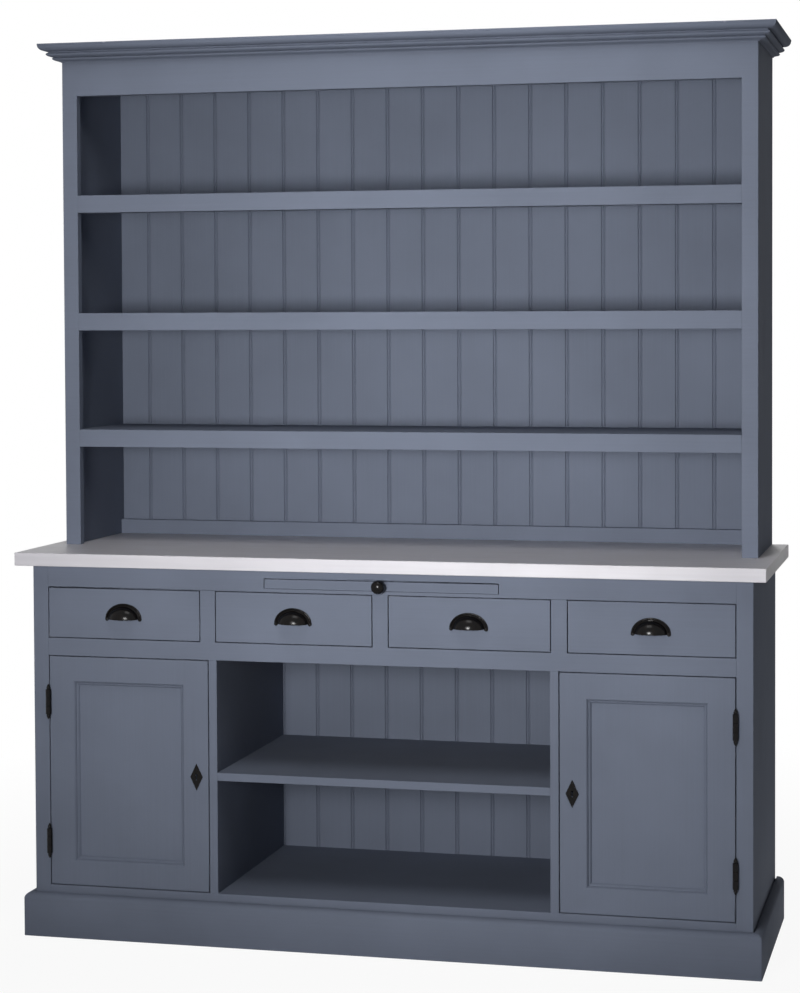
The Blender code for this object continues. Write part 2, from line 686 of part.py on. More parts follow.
# The pull-out board and its knob
BOARD_MIDDLE_Z = BOARD_Z + BOARD_THICKNESS / 2
board_slide = carrier("pull_out_board_slide", (0.0, FRONT_Y, BOARD_MIDDLE_Z))
board(
    "pull_out_board",
    (-BOARD_WIDTH / 2, FRONT_Y, BOARD_Z),
    (BOARD_WIDTH / 2, FRONT_Y + BOARD_DEPTH, BOARD_Z + BOARD_THICKNESS),
    PAINT,
    board_slide,
)
knob = place(
    "pull_out_board_knob",
    profile_mesh("knob_profile", sized(KNOB_PROFILE_SHARES, KNOB_DIAMETER / 2, KNOB_PROJECTION)),
    (0.0, FRONT_Y - SEAT, BOARD_MIDDLE_Z),
    BLACK_IRON,
    board_slide,
)
knob.rotation_euler.x = math.pi / 2
screw(knob, KNOB_SIDES)


def cylinder(name, radius, length):
    """A round bar along Z with its origin at its middle."""
    bm = bmesh.new()
    bmesh.ops.create_cone(
        bm, cap_ends=True, segments=HINGE_SIDES, radius1=radius, radius2=radius, depth=length
    )
    mesh = bpy.data.meshes.new(name)
    bm.to_mesh(mesh)
    bm.free()
    obj = bpy.data.objects.new(name, mesh)
    CUTTERS.objects.link(obj)
    return obj


def hinge_meshes():
    """The two halves of a right-hand hinge, each with its origin in the middle of the pin.

    The leaves lie side by side in the gap at the door's edge. The fixed half carries the pin, the outer knuckles and
    the tapered tips; the moving half is the middle knuckle and its leaf.
    """
    half = KNUCKLE_LENGTH / 2
    end = half + SEAT + KNUCKLE_LENGTH
    tips = [(TIP_NECK_RADIUS * r, end + TIP_LENGTH * z) for r, z in reversed(TIP_SHARES)]
    upper = tips + [(BARREL_RADIUS, end), (BARREL_RADIUS, half + SEAT), (PIN_RADIUS, half + SEAT)]
    profile = upper + [(r, -z) for r, z in reversed(upper)]
    fixed = bpy.data.objects.new("hinge_fixed", profile_mesh("hinge_fixed", profile))
    CUTTERS.objects.link(fixed)
    screw(fixed, HINGE_SIDES)
    start = BARREL_RADIUS + SEAT
    tools = [
        cutter("fixed_leaf", (SEAT / 2, start + SEAT, -end), (SEAT / 2 + LEAF_THICKNESS, start + LEAF_DEPTH, end)),
        cutter("fixed_upper_root", (SEAT / 2, PIN_RADIUS, half + SEAT), (SEAT / 2 + LEAF_THICKNESS, start + half, end)),
        cutter("fixed_lower_root", (SEAT / 2, PIN_RADIUS, -end), (SEAT / 2 + LEAF_THICKNESS, start + half, -half - SEAT)),
    ]
    for tool in tools:
        boolean(fixed, tool, "UNION")
    fixed_mesh = finished_mesh(fixed, "hinge_fixed")

    moving = cylinder("hinge_moving", BARREL_RADIUS, KNUCKLE_LENGTH)
    bore_radius = PIN_RADIUS + SEAT
    bore = cylinder("hinge_bore", bore_radius, KNUCKLE_LENGTH + OVERRUN)
    wall = (BARREL_RADIUS + bore_radius) / 2
    more = [
        cutter("moving_leaf", (-SEAT / 2 - LEAF_THICKNESS, start + SEAT, -end), (-SEAT / 2, start + LEAF_DEPTH, end)),
        cutter("moving_root", (-SEAT / 2 - LEAF_THICKNESS, wall, -half), (-SEAT / 2, start + half, half)),
    ]
    for tool in more:
        boolean(moving, tool, "UNION")
    boolean(moving, bore, "DIFFERENCE")
    moving_mesh = finished_mesh(moving, "hinge_moving")
    discard(fixed, moving, bore, *tools, *more)
    return fixed_mesh, moving_mesh


def keyhole(radius, slot_width, length, x, z):
    """An outline of a keyhole: an eye with a straight slot below it."""
    first = -math.pi / 2 + math.asin(slot_width / 2 / radius)
    sweep = 2 * (math.pi - math.asin(slot_width / 2 / radius))
    angles = [first + sweep * k / (EYE_POINTS - 1) for k in range(EYE_POINTS)]
    top = z + length / 2 - radius
    eye = [(x + radius * math.cos(a), top + radius * math.sin(a)) for a in angles]
    return [*eye, (x - slot_width / 2, z - length / 2), (x + slot_width / 2, z - length / 2)]


def swung_outline(name, outlines, thickness, location, finish, parent):
    """A flat upright piece that faces the front."""
    obj = place(name, outline_curve(name, outlines, thickness), location, finish, parent)
    obj.rotation_euler.x = math.pi / 2
    return obj


def door_panel_mesh(width, height):
    """A flat panel with its bead moulding, stepped in from the edge by insets. Its origin is on the door's face."""
    body = PANEL_RECESS + PANEL_THICKNESS
    bm = bmesh.new()
    bmesh.ops.create_cube(bm, size=1)
    bmesh.ops.scale(bm, vec=(width, body - BEAD_START, height), verts=bm.verts)
    bmesh.ops.translate(bm, vec=(0.0, (body + BEAD_START) / 2, 0.0), verts=bm.verts)
    bm.normal_update()
    front = min(bm.faces, key=lambda face: face.calc_center_median().y)
    for inward, outward in BEAD_STEPS:
        bmesh.ops.inset_individual(bm, faces=[front], thickness=inward, depth=outward, use_even_offset=True)
    mesh = bpy.data.meshes.new("door_panel")
    bm.to_mesh(mesh)
    bm.free()
    return mesh


# Two doors, each on an empty on its hinge pins' axis
fixed_half, moving_half = hinge_meshes()
DOOR_LOW_Z = BOTTOM_RAIL_TOP + DOOR_GAP
DOOR_HIGH_Z = DRAWER_RAIL_UNDERSIDE - DOOR_GAP
DOOR_MIDDLE_Z = (DOOR_LOW_Z + DOOR_HIGH_Z) / 2
DOOR_WIDTH = DOOR_HINGE_X - DOOR_FREE_X
DOOR_HEIGHT = DOOR_HIGH_Z - DOOR_LOW_Z
LOCK_Z = DOOR_LOW_Z + LOCK_HEIGHT_SHARE * DOOR_HEIGHT
LIGHT_WIDTH = DOOR_WIDTH - 2 * DOOR_STILE_WIDTH
LIGHT_HEIGHT = DOOR_HEIGHT - 2 * DOOR_RAIL_WIDTH
panel_mesh = door_panel_mesh(LIGHT_WIDTH - 2 * SEAT, LIGHT_HEIGHT - 2 * SEAT)
for side, word in ((-1, "left"), (1, "right")):
    swing = carrier(f"{word}_door_swing", (side * HINGE_X, HINGE_Y, DOOR_MIDDLE_Z))
    middle_x = side * (DOOR_FREE_X + DOOR_HINGE_X) / 2
    lock_x = side * (DOOR_FREE_X + ESCUTCHEON_INSET)

    def rectangle(width, height):
        return [(-width / 2, -height / 2), (width / 2, -height / 2), (width / 2, height / 2), (-width / 2, height / 2)]

    hole = keyhole(
        KEYHOLE_EYE_RADIUS, KEYHOLE_SLOT_WIDTH, KEYHOLE_LENGTH, lock_x - middle_x, LOCK_Z - DOOR_MIDDLE_Z
    )
    swung_outline(
        f"{word}_door_frame",
        [rectangle(DOOR_WIDTH, DOOR_HEIGHT), rectangle(LIGHT_WIDTH, LIGHT_HEIGHT), hole],
        FRAME_THICKNESS,
        (middle_x, FRONT_Y + FRAME_THICKNESS / 2, DOOR_MIDDLE_Z),
        PAINT,
        swing,
    )
    place(f"{word}_door_panel", panel_mesh.copy(), (middle_x, FRONT_Y, DOOR_MIDDLE_Z), PAINT, swing)
    diamond = [
        (0.0, -ESCUTCHEON_HEIGHT / 2),
        (ESCUTCHEON_WIDTH / 2, 0.0),
        (0.0, ESCUTCHEON_HEIGHT / 2),
        (-ESCUTCHEON_WIDTH / 2, 0.0),
    ]
    swung_outline(
        f"{word}_door_escutcheon",
        [diamond, keyhole(KEYHOLE_EYE_RADIUS, KEYHOLE_SLOT_WIDTH, KEYHOLE_LENGTH, 0.0, 0.0)],
        ESCUTCHEON_THICKNESS,
        (lock_x, FRONT_Y - SEAT - ESCUTCHEON_THICKNESS / 2, LOCK_Z),
        BLACK_IRON,
        swing,
    )

    case_near = DOOR_FREE_X + LOCK_CASE_INSET
    case_y = BEHIND_FRAME_Y
    bolt_y = case_y + LOCK_CASE_THICKNESS / 2
    lows, highs = case_near, case_near + LOCK_CASE_WIDTH
    case = board(
        f"{word}_door_lock_case",
        (min(side * lows, side * highs), case_y, LOCK_Z - LOCK_CASE_HEIGHT / 2),
        (max(side * lows, side * highs), case_y + LOCK_CASE_THICKNESS, LOCK_Z + LOCK_CASE_HEIGHT / 2),
        STEEL,
        swing,
    )
    bolt_room = cutter(
        f"{word}_bolt_room",
        (
            min(side * (lows - OVERRUN), side * (highs + OVERRUN)),
            bolt_y - BOLT_THICKNESS / 2 - SEAT,
            LOCK_Z - BOLT_HEIGHT / 2 - SEAT,
        ),
        (
            max(side * (lows - OVERRUN), side * (highs + OVERRUN)),
            bolt_y + BOLT_THICKNESS / 2 + SEAT,
            LOCK_Z + BOLT_HEIGHT / 2 + SEAT,
        ),
    )
    boolean(case, bolt_room, "DIFFERENCE")
    bolt_near = case_near + SEAT
    board(
        f"{word}_door_lock_bolt",
        (
            min(side * bolt_near, side * (bolt_near + BOLT_LENGTH)),
            bolt_y - BOLT_THICKNESS / 2,
            LOCK_Z - BOLT_HEIGHT / 2,
        ),
        (
            max(side * bolt_near, side * (bolt_near + BOLT_LENGTH)),
            bolt_y + BOLT_THICKNESS / 2,
            LOCK_Z + BOLT_HEIGHT / 2,
        ),
        STEEL,
        swing,
    )

    for level, share in HINGE_HEIGHT_SHARES:
        pin = (side * HINGE_X, HINGE_Y, DOOR_LOW_Z + share * DOOR_HEIGHT)
        for half_name, mesh, parent in (("fixed", fixed_half, None), ("moving", moving_half, swing)):
            shape = mesh.copy() if side > 0 else mirrored(mesh)
            place(f"{word}_{level}_hinge_{half_name}", shape, pin, BLACK_IRON, parent)
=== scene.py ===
"""The looks of a painted kitchen dresser, built round its joined parts.

Every timber gets softened arrises that carry the wear of its paint, the backs get their beaded boards, the
mouldings their full profiles, and the ironwork its rims, feet, pins and tapered tips.
"""

import json
import math

import bmesh
import bpy
from bpy.props import FloatProperty, FloatVectorProperty, PointerProperty
from mathutils import Matrix, Vector
from mathutils.bvhtree import BVHTree


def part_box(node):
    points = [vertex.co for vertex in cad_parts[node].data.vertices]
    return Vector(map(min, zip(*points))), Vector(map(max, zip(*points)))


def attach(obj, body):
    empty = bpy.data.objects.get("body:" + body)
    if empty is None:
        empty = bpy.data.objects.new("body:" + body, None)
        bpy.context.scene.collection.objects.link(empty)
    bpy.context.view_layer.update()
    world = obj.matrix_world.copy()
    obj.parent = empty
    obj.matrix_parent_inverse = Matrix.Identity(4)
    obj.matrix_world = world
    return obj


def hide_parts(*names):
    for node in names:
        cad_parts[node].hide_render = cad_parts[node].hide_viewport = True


bl_info = {
    "name": "Kitchen dresser",
    "version": (1, 0, 0),
    "blender": (4, 5, 0),
    "location": "3D View > Sidebar > Dresser",
    "description": "Dresses the parts of a painted kitchen dresser",
    "category": "Object",
}

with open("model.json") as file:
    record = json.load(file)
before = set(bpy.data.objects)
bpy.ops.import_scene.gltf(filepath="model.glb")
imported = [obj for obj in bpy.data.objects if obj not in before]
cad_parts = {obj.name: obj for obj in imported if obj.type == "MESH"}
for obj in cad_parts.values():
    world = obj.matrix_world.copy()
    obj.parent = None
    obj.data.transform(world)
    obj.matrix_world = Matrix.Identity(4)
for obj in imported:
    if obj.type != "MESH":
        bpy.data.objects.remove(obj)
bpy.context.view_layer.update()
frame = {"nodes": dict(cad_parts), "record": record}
FINISHES = {entry["slot"]: entry["base_color"][:3] for entry in frame["record"]["materials"]}
BODY_OF = {node: body for body, nodes in frame["record"]["behaviour"]["bodies"].items() for node in nodes}

MERGE_DISTANCE = 0.00001
FLAT_ANGLE = math.radians(1)
SHARP_ANGLE = math.radians(30)
ROUND_ANGLE = math.radians(40)
JOINT_REACH = 0.0006
SHORTEST_CUT = 0.003
SEAT = 0.0003
ON_ARRIS = 1.0
BESIDE_ARRIS = 0.75

BOARD_RUBBING = 0.22
INNER_RUBBING = 0.18
BACK_RUBBING = 0.12
CORNICE_RUBBING = 0.35
PLINTH_RUBBING = 0.30

OUTER_BOARDS = (
    "base_left_side", "base_right_side", "base_left_stile", "base_right_stile", "base_left_inner_stile",
    "base_right_inner_stile", "base_bottom_rail", "base_drawer_rail", "base_top_rail", "hutch_left_side",
    "hutch_right_side", "hutch_face_frame",
)
INNER_BOARDS = (
    "base_left_partition", "base_right_partition", "base_bottom_board", "centre_bay_shelf", "hutch_top_board",
    "hutch_bottom_shelf", "hutch_middle_shelf", "hutch_top_shelf", "hutch_back_rail",
)
RUNNING_BOARDS = ("drawer_dust_board", "upper_dust_board")
DRAWERS = (1, 2, 3, 4)
SIDES = ("left", "right")
LEVELS = ("lower", "upper")

KNOB_FOOT_SHARES = (
    (0.0, 0.0), (0.62, 0.0), (0.62, 0.05), (0.50, 0.09), (0.40, 0.16), (0.37, 0.25), (0.42, 0.33),
)
HINGE_TIP_SHARES = (
    (0.70, 0.04), (0.62, 0.12), (0.74, 0.24), (0.66, 0.42), (0.48, 0.66), (0.26, 0.88),
    (0.12, 0.97), (0.0, 1.0),
)


# Sizes and colours that a user would change

class PaintSettings(bpy.types.PropertyGroup):
    outer: FloatVectorProperty(
        name="Outer paint", description="Paint of the fronts and sides",
        subtype="COLOR", size=3, min=0, max=1, default=FINISHES["blue_grey_paint"])
    # Painted light: the inner paint is the outer blue-grey paint made lighter, so that the backs and the
    # boards inside come out as bright as the light makes them look.
    inner: FloatVectorProperty(
        name="Inner paint", description="Paint of the shelves and backs",
        subtype="COLOR", size=3, min=0, max=1, default=FINISHES["inside_paint"])
    worn: FloatVectorProperty(
        name="Worn arris", description="Pale colour that shows where the paint is rubbed",
        subtype="COLOR", size=3, min=0, max=1, default=(0.36, 0.37, 0.43))
    worktop: FloatVectorProperty(
        name="Worktop", description="Pale paint of the worktop",
        subtype="COLOR", size=3, min=0, max=1, default=FINISHES["pale_worktop"])
    wood: FloatVectorProperty(
        name="Bare wood", description="Planed softwood of the drawer boxes",
        subtype="COLOR", size=3, min=0, max=1, default=FINISHES["bare_wood"])
    roughness: FloatProperty(
        name="Paint roughness", description="Roughness of the satin paint", min=0, max=1, default=0.75)
    rubbing: FloatProperty(
        name="Rubbing", description="Share of the fronts' arrises that is rubbed", min=0, max=1, default=0.5)


class JoinerySettings(bpy.types.PropertyGroup):
    arris: FloatProperty(
        name="Arris radius", description="Rounding of the boards' edges",
        unit="LENGTH", default=0.0012)
    front_arris: FloatProperty(
        name="Front arris", description="Rounding of the doors' and drawers' edges",
        unit="LENGTH", default=0.0013)
    worn_width: FloatProperty(
        name="Worn width", description="How far the rubbing reaches from an arris",
        unit="LENGTH", default=0.0022)
    groove_width: FloatProperty(
        name="Groove width", description="Width of a V groove of the backs",
        unit="LENGTH", default=0.004)
    groove_depth: FloatProperty(
        name="Groove depth", description="Depth of a V groove of the backs",
        unit="LENGTH", default=0.003)
    board_pitch: FloatProperty(
        name="Board pitch", description="From one joint of the backs to the next",
        unit="LENGTH", default=0.0943)
    bead_width: FloatProperty(
        name="Bead width", description="From a joint's V groove to the one beside it",
        unit="LENGTH", default=0.007)
    base_joint: FloatProperty(
        name="Base joint", description="From the middle to the next joint of the base's back",
        unit="LENGTH", default=0.0587)
    hutch_joint: FloatProperty(
        name="Hutch joint", description="From the middle to the next joint of the hutch's back",
        unit="LENGTH", default=0.0687)
    keyhole: FloatProperty(
        name="Keyhole edges", description="Edges of a door up to this length stay sharp",
        unit="LENGTH", default=0.016)
    moulding_ease: FloatProperty(
        name="Moulding ease", description="Rounding of the mouldings' mitred corners",
        unit="LENGTH", default=0.0015)


class IronworkSettings(bpy.types.PropertyGroup):
    iron: FloatVectorProperty(
        name="Iron", description="Black of the pulls, hinges and escutcheons",
        subtype="COLOR", size=3, min=0, max=1, default=FINISHES["black_iron"])
    steel: FloatVectorProperty(
        name="Steel", description="Dull steel of the locks",
        subtype="COLOR", size=3, min=0, max=1, default=FINISHES["lock_steel"])
    pull_height: FloatProperty(
        name="Pull height", description="From a cup pull's open foot to its top",
        unit="LENGTH", default=0.038)
    pull_rim: FloatProperty(
        name="Pull rim", description="Width of the rim round the cup of a pull",
        unit="LENGTH", default=0.009)
    pull_wall: FloatProperty(
        name="Pull wall", description="Wall of a cup pull",
        unit="LENGTH", default=0.0022)
    pull_foot: FloatProperty(
        name="Pull foot", description="Radius of the screwed foot at each end",
        unit="LENGTH", default=0.00475)
    screw: FloatProperty(
        name="Screw head", description="Radius of a screw's head",
        unit="LENGTH", default=0.0028)


class StudioSettings(bpy.types.PropertyGroup):
    lens: FloatProperty(name="Lens", description="Focal length", unit="CAMERA", default=77.48)
    camera: FloatVectorProperty(
        name="Camera", description="Place of the camera",
        subtype="TRANSLATION", size=3, default=(1.4084, -5.0886, 1.4968))
    turn: FloatProperty(
        name="Turn", description="How far the camera is turned to the left", unit="ROTATION", default=0.2165)
    tilt: FloatProperty(
        name="Tilt", description="How far the camera looks up", unit="ROTATION", default=-0.0308)
    roll: FloatProperty(
        name="Roll", description="How far the camera leans", unit="ROTATION", default=-0.003)
    shift_x: FloatProperty(name="Shift across", description="Shift of the picture across", default=-0.121)
    shift_y: FloatProperty(name="Shift up", description="Shift of the picture upwards", default=-0.1065)
    broad_lamp: FloatVectorProperty(
        name="Broad lamp", description="Place of the soft box that lights the whole front",
        subtype="TRANSLATION", size=3, default=(-0.1, -4.4, 1.5))
    broad_power: FloatProperty(
        name="Broad lamp's power", description="Power of the lamp for the whole front", default=52)
    gridded_lamp: FloatVectorProperty(
        name="Gridded lamp", description="Place of the gridded soft box that lights the middle",
        subtype="TRANSLATION", size=3, default=(-0.2, -4.4, 1.3))
    gridded_power: FloatProperty(
        name="Gridded lamp's power", description="Power of the gridded lamp", default=11)
    overhead_lamp: FloatVectorProperty(
        name="Overhead lamp", description="Place of the soft box overhead",
        subtype="TRANSLATION", size=3, default=(0.0, -1.6, 3.6))
    overhead_power: FloatProperty(
        name="Overhead lamp's power", description="Power of the lamp overhead", default=22.5)
    rear_lamp: FloatVectorProperty(
        name="Rear lamp", description="Place of the soft box that lights the back",
        subtype="TRANSLATION", size=3, default=(-0.4, 4.4, 2.0))
    rear_power: FloatProperty(
        name="Rear lamp's power", description="Power of the lamp behind", default=60)
    fill: FloatProperty(
        name="Fill", description="Strength of the light from all round", default=0.003)


def settings(group):
    """The values of one group, which a user can change in the scene's properties."""
    return getattr(bpy.context.scene, "dresser_" + group)


# Materials

def add(tree, kind, sockets=None, **values):
    """Add a node, set its values, and set or link its inputs by name or number."""
    made = tree.nodes.new(kind)
    for key, value in values.items():
        setattr(made, key, value)
    for key, value in (sockets or {}).items():
        if isinstance(value, bpy.types.NodeSocket):
            tree.links.new(value, made.inputs[key])
        else:
            made.inputs[key].default_value = value
    return made


def mixed(tree, share, first, second):
    """Mix two colours; returns the colour's socket."""
    first, second = [(*c, 1.0) if isinstance(c, tuple) and len(c) == 3 else c for c in (first, second)]
    made = add(tree, "ShaderNodeMix", {0: share, 6: first, 7: second}, data_type="RGBA")
    return made.outputs[2]


def ranged(tree, value, low, high, to_low, to_high):
    """Stretch a value's range to another, and hold it there."""
    made = add(tree, "ShaderNodeMapRange",
               {"Value": value, "From Min": low, "From Max": high, "To Min": to_low, "To Max": to_high})
    return made.outputs[0]


def noise(tree, vector, scale, detail=3.0, roughness=0.55):
    """A noise texture; returns its value's socket."""
    made = add(tree, "ShaderNodeTexNoise",
               {"Vector": vector, "Scale": scale, "Detail": detail, "Roughness": roughness})
    return made.outputs["Fac"]


def maths(tree, operation, first, second):
    """A sum, product or other result of two values; returns its socket."""
    return add(tree, "ShaderNodeMath", {0: first, 1: second}, operation=operation).outputs[0]


def along(tree, axis, lengthwise, across):
    """Object coordinates drawn out along one axis, for brush marks or grain."""
    place = add(tree, "ShaderNodeTexCoord").outputs["Object"]
    scale = [across, across, across]
    scale[axis] = lengthwise
    return place, add(tree, "ShaderNodeMapping", {"Vector": place, "Scale": scale}).outputs[0]


def shaded(name, **values):
    """A new material; returns it, its tree and its Principled node."""
    material = bpy.data.materials.new(name)
    material.use_nodes = True
    shader = material.node_tree.nodes["Principled BSDF"]
    for key, value in values.items():
        shader.inputs[key.replace("_", " ")].default_value = value
    return material, material.node_tree, shader


def scaled(colour, factor):
    """A colour made lighter or darker, and no lighter than white."""
    return tuple(min(1.0, channel * factor) for channel in colour)


def bumped(tree, shader, height, strength, distance):
    """Let a height's socket shape the shader's surface."""
    bump = add(tree, "ShaderNodeBump", {"Height": height, "Strength": strength, "Distance": distance})
    tree.links.new(bump.outputs[0], shader.inputs["Normal"])


MATERIALS = {}


def kept(make):
    """Make each material once for each set of choices."""
    def fetch(*choices):
        key = (make.__name__, *choices)
        if key not in MATERIALS:
            MATERIALS[key] = make(*choices)
        return MATERIALS[key]
    return fetch


@kept
def brushed_paint(coat, axis, rubbing):
    """Satin paint with faint brush marks along the board, a cloudy tone, and rubbed arrises."""
    paint = settings("paint")
    colour = tuple(getattr(paint, coat))
    name = f"{coat}_paint_{'xyz'[axis]}_{round(rubbing * 100)}"
    material, tree, shader = shaded(name, Roughness=paint.roughness, Specular_IOR_Level=0.1)
    place, drawn = along(tree, axis, 3.0, 260.0)
    strokes = noise(tree, drawn, 1.0, 4.0)
    cloud = noise(tree, place, 2.6, 4.0)
    speck = noise(tree, place, 70.0, 4.0, 0.65)
    tone = mixed(tree, ranged(tree, cloud, 0.3, 0.7, 0.0, 1.0), scaled(colour, 0.91), scaled(colour, 1.09))
    tone = mixed(tree, ranged(tree, strokes, 0.3, 0.7, 0.0, 0.10), tone, scaled(colour, 1.45))
    arris = add(tree, "ShaderNodeAttribute", attribute_name="arris").outputs["Fac"]
    patches = noise(tree, place, 16.0, 5.0, 0.7)
    reach = maths(tree, "ADD", arris, maths(tree, "MULTIPLY", patches, 1.6))
    edge = 2.14 - 0.5 * rubbing
    bare = ranged(tree, reach, edge, edge + 0.12, 0.0, 0.9)
    tree.links.new(mixed(tree, bare, tone, tuple(paint.worn)), shader.inputs["Base Color"])
    gloss = ranged(tree, strokes, 0.3, 0.7, paint.roughness - 0.07, paint.roughness + 0.08)
    tree.links.new(gloss, shader.inputs["Roughness"])
    height = maths(tree, "ADD", strokes, maths(tree, "MULTIPLY", speck, 0.5))
    bumped(tree, shader, height, 0.22, 0.0004)
    return material


@kept
def worktop_paint(axis):
    """Pale scrubbed paint with faint boards' grain showing through."""
    colour = tuple(settings("paint").worktop)
    material, tree, shader = shaded("worktop_paint", Roughness=0.45)
    place, drawn = along(tree, axis, 2.2, 90.0)
    grain = noise(tree, drawn, 1.0, 5.0, 0.6)
    cloud = noise(tree, place, 4.0, 4.0)
    tone = mixed(tree, ranged(tree, grain, 0.35, 0.7, 0.0, 1.0), scaled(colour, 1.03), scaled(colour, 0.93))
    tone = mixed(tree, ranged(tree, cloud, 0.35, 0.75, 0.0, 0.5), tone, scaled(colour, 0.88))
    tree.links.new(tone, shader.inputs["Base Color"])
    tree.links.new(ranged(tree, cloud, 0.3, 0.7, 0.38, 0.55), shader.inputs["Roughness"])
    bumped(tree, shader, grain, 0.15, 0.0004)
    return material


@kept
def planed_wood(axis):
    """Bare planed softwood with its grain along one axis."""
    colour = tuple(settings("paint").wood)
    material, tree, shader = shaded(f"planed_wood_{'xyz'[axis]}", Roughness=0.62)
    place, drawn = along(tree, axis, 1.6, 42.0)
    bands = noise(tree, drawn, 1.0, 3.0)
    rings = add(tree, "ShaderNodeTexWave", {"Vector": drawn, "Scale": 0.9, "Distortion": 9.0, "Detail": 3.0})
    fine = noise(tree, along(tree, axis, 9.0, 600.0)[1], 1.0, 2.0)
    tone = mixed(tree, rings.outputs["Fac"], scaled(colour, 1.12), scaled(colour, 0.74))
    tone = mixed(tree, ranged(tree, bands, 0.3, 0.7, 0.0, 0.6), tone, scaled(colour, 0.95))
    tone = mixed(tree, ranged(tree, fine, 0.45, 0.75, 0.0, 0.35), tone, scaled(colour, 0.55))
    tree.links.new(tone, shader.inputs["Base Color"])
    tree.links.new(ranged(tree, fine, 0.3, 0.7, 0.52, 0.72), shader.inputs["Roughness"])
    bumped(tree, shader, fine, 0.2, 0.0003)
    return material


@kept
def black_iron():
    """Japanned cast iron: glossy, near black, with a little brown in it and fine pits."""
    colour = tuple(settings("ironwork").iron)
    material, tree, shader = shaded("japanned_iron", Metallic=0.0, Roughness=0.2, Specular_IOR_Level=0.13)
    place = add(tree, "ShaderNodeTexCoord").outputs["Object"]
    pits = noise(tree, place, 900.0, 4.0, 0.6)
    cloud = noise(tree, place, 120.0, 3.0)
    brown = (colour[0] * 0.45, colour[1] * 0.32, colour[2] * 0.25)
    tone = mixed(tree, ranged(tree, cloud, 0.35, 0.7, 0.0, 1.0), scaled(colour, 0.2), brown)
    tree.links.new(tone, shader.inputs["Base Color"])
    tree.links.new(ranged(tree, cloud, 0.3, 0.7, 0.16, 0.24), shader.inputs["Roughness"])
    bumped(tree, shader, pits, 0.15, 0.0002)
    return material


@kept
def brushed_steel(axis):
    """Dull rolled steel with fine scratches."""
    colour = tuple(settings("ironwork").steel)
    material, tree, shader = shaded("dull_steel", Metallic=1.0, Roughness=0.4)
    place, drawn = along(tree, axis, 40.0, 2600.0)
    scratches = noise(tree, drawn, 1.0, 3.0)
    cloud = noise(tree, place, 60.0, 3.0)
    tone = mixed(tree, cloud, scaled(colour, 0.8), scaled(colour, 1.25))
    tree.links.new(tone, shader.inputs["Base Color"])
    tree.links.new(ranged(tree, scratches, 0.3, 0.7, 0.32, 0.5), shader.inputs["Roughness"])
    bumped(tree, shader, scratches, 0.12, 0.0002)
    return material


# Building and finishing pieces

def made_piece(name, bm, node, material, smooth=False):
    """Turn a bmesh into a piece that stands for a node and rides on its body."""
    bmesh.ops.remove_doubles(bm, verts=bm.verts, dist=MERGE_DISTANCE)
    mesh = bpy.data.meshes.new(name)
    for face in bm.faces:
        face.smooth = smooth
    bm.to_mesh(mesh)
    bm.free()
    if smooth:
        mesh.set_sharp_from_angle(angle=ROUND_ANGLE)
    piece = bpy.data.objects.new(name, mesh)
    bpy.context.scene.collection.objects.link(piece)
    piece.data.materials.append(material)
    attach(piece, BODY_OF[node])
    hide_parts(node)


def long_axis(node):
    """The number of the axis along which the node is longest."""
    low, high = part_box(node)
    size = [b - a for a, b in zip(low, high)]
    return size.index(max(size))


def copied(node):
    """The node's mesh, merged and with its flat faces whole."""
    bm = bmesh.new()
    bm.from_mesh(frame["nodes"][node].data)
    bmesh.ops.remove_doubles(bm, verts=bm.verts, dist=MERGE_DISTANCE)
    bmesh.ops.dissolve_limit(bm, angle_limit=FLAT_ANGLE, verts=bm.verts, edges=bm.edges)
    return bm


TREES = {}


def surface(node):
    """A search tree over a node's faces."""
    if node not in TREES:
        mesh = frame["nodes"][node].data
        TREES[node] = BVHTree.FromPolygons(
            [vert.co for vert in mesh.vertices], [face.vertices for face in mesh.polygons])
    return TREES[node]


def neighbours(node):
    """The nodes of the same body that a joint's gap separates from this one."""
    low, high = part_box(node)
    found = []
    for other in frame["record"]["behaviour"]["bodies"][BODY_OF[node]]:
        other_low, other_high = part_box(other)
        apart = max(max(a - d, c - b) for a, b, c, d in zip(low, high, other_low, other_high))
        if other != node and apart < JOINT_REACH:
            found.append(other)
    return found


def split_at(bm, axis, places):
    """Cut the mesh across one axis at each place, without taking anything away."""
    direction = Vector([float(axis == k) for k in range(3)])
    for place in places:
        bmesh.ops.bisect_plane(
            bm, geom=bm.verts[:] + bm.edges[:] + bm.faces[:], plane_co=direction * place, plane_no=direction)


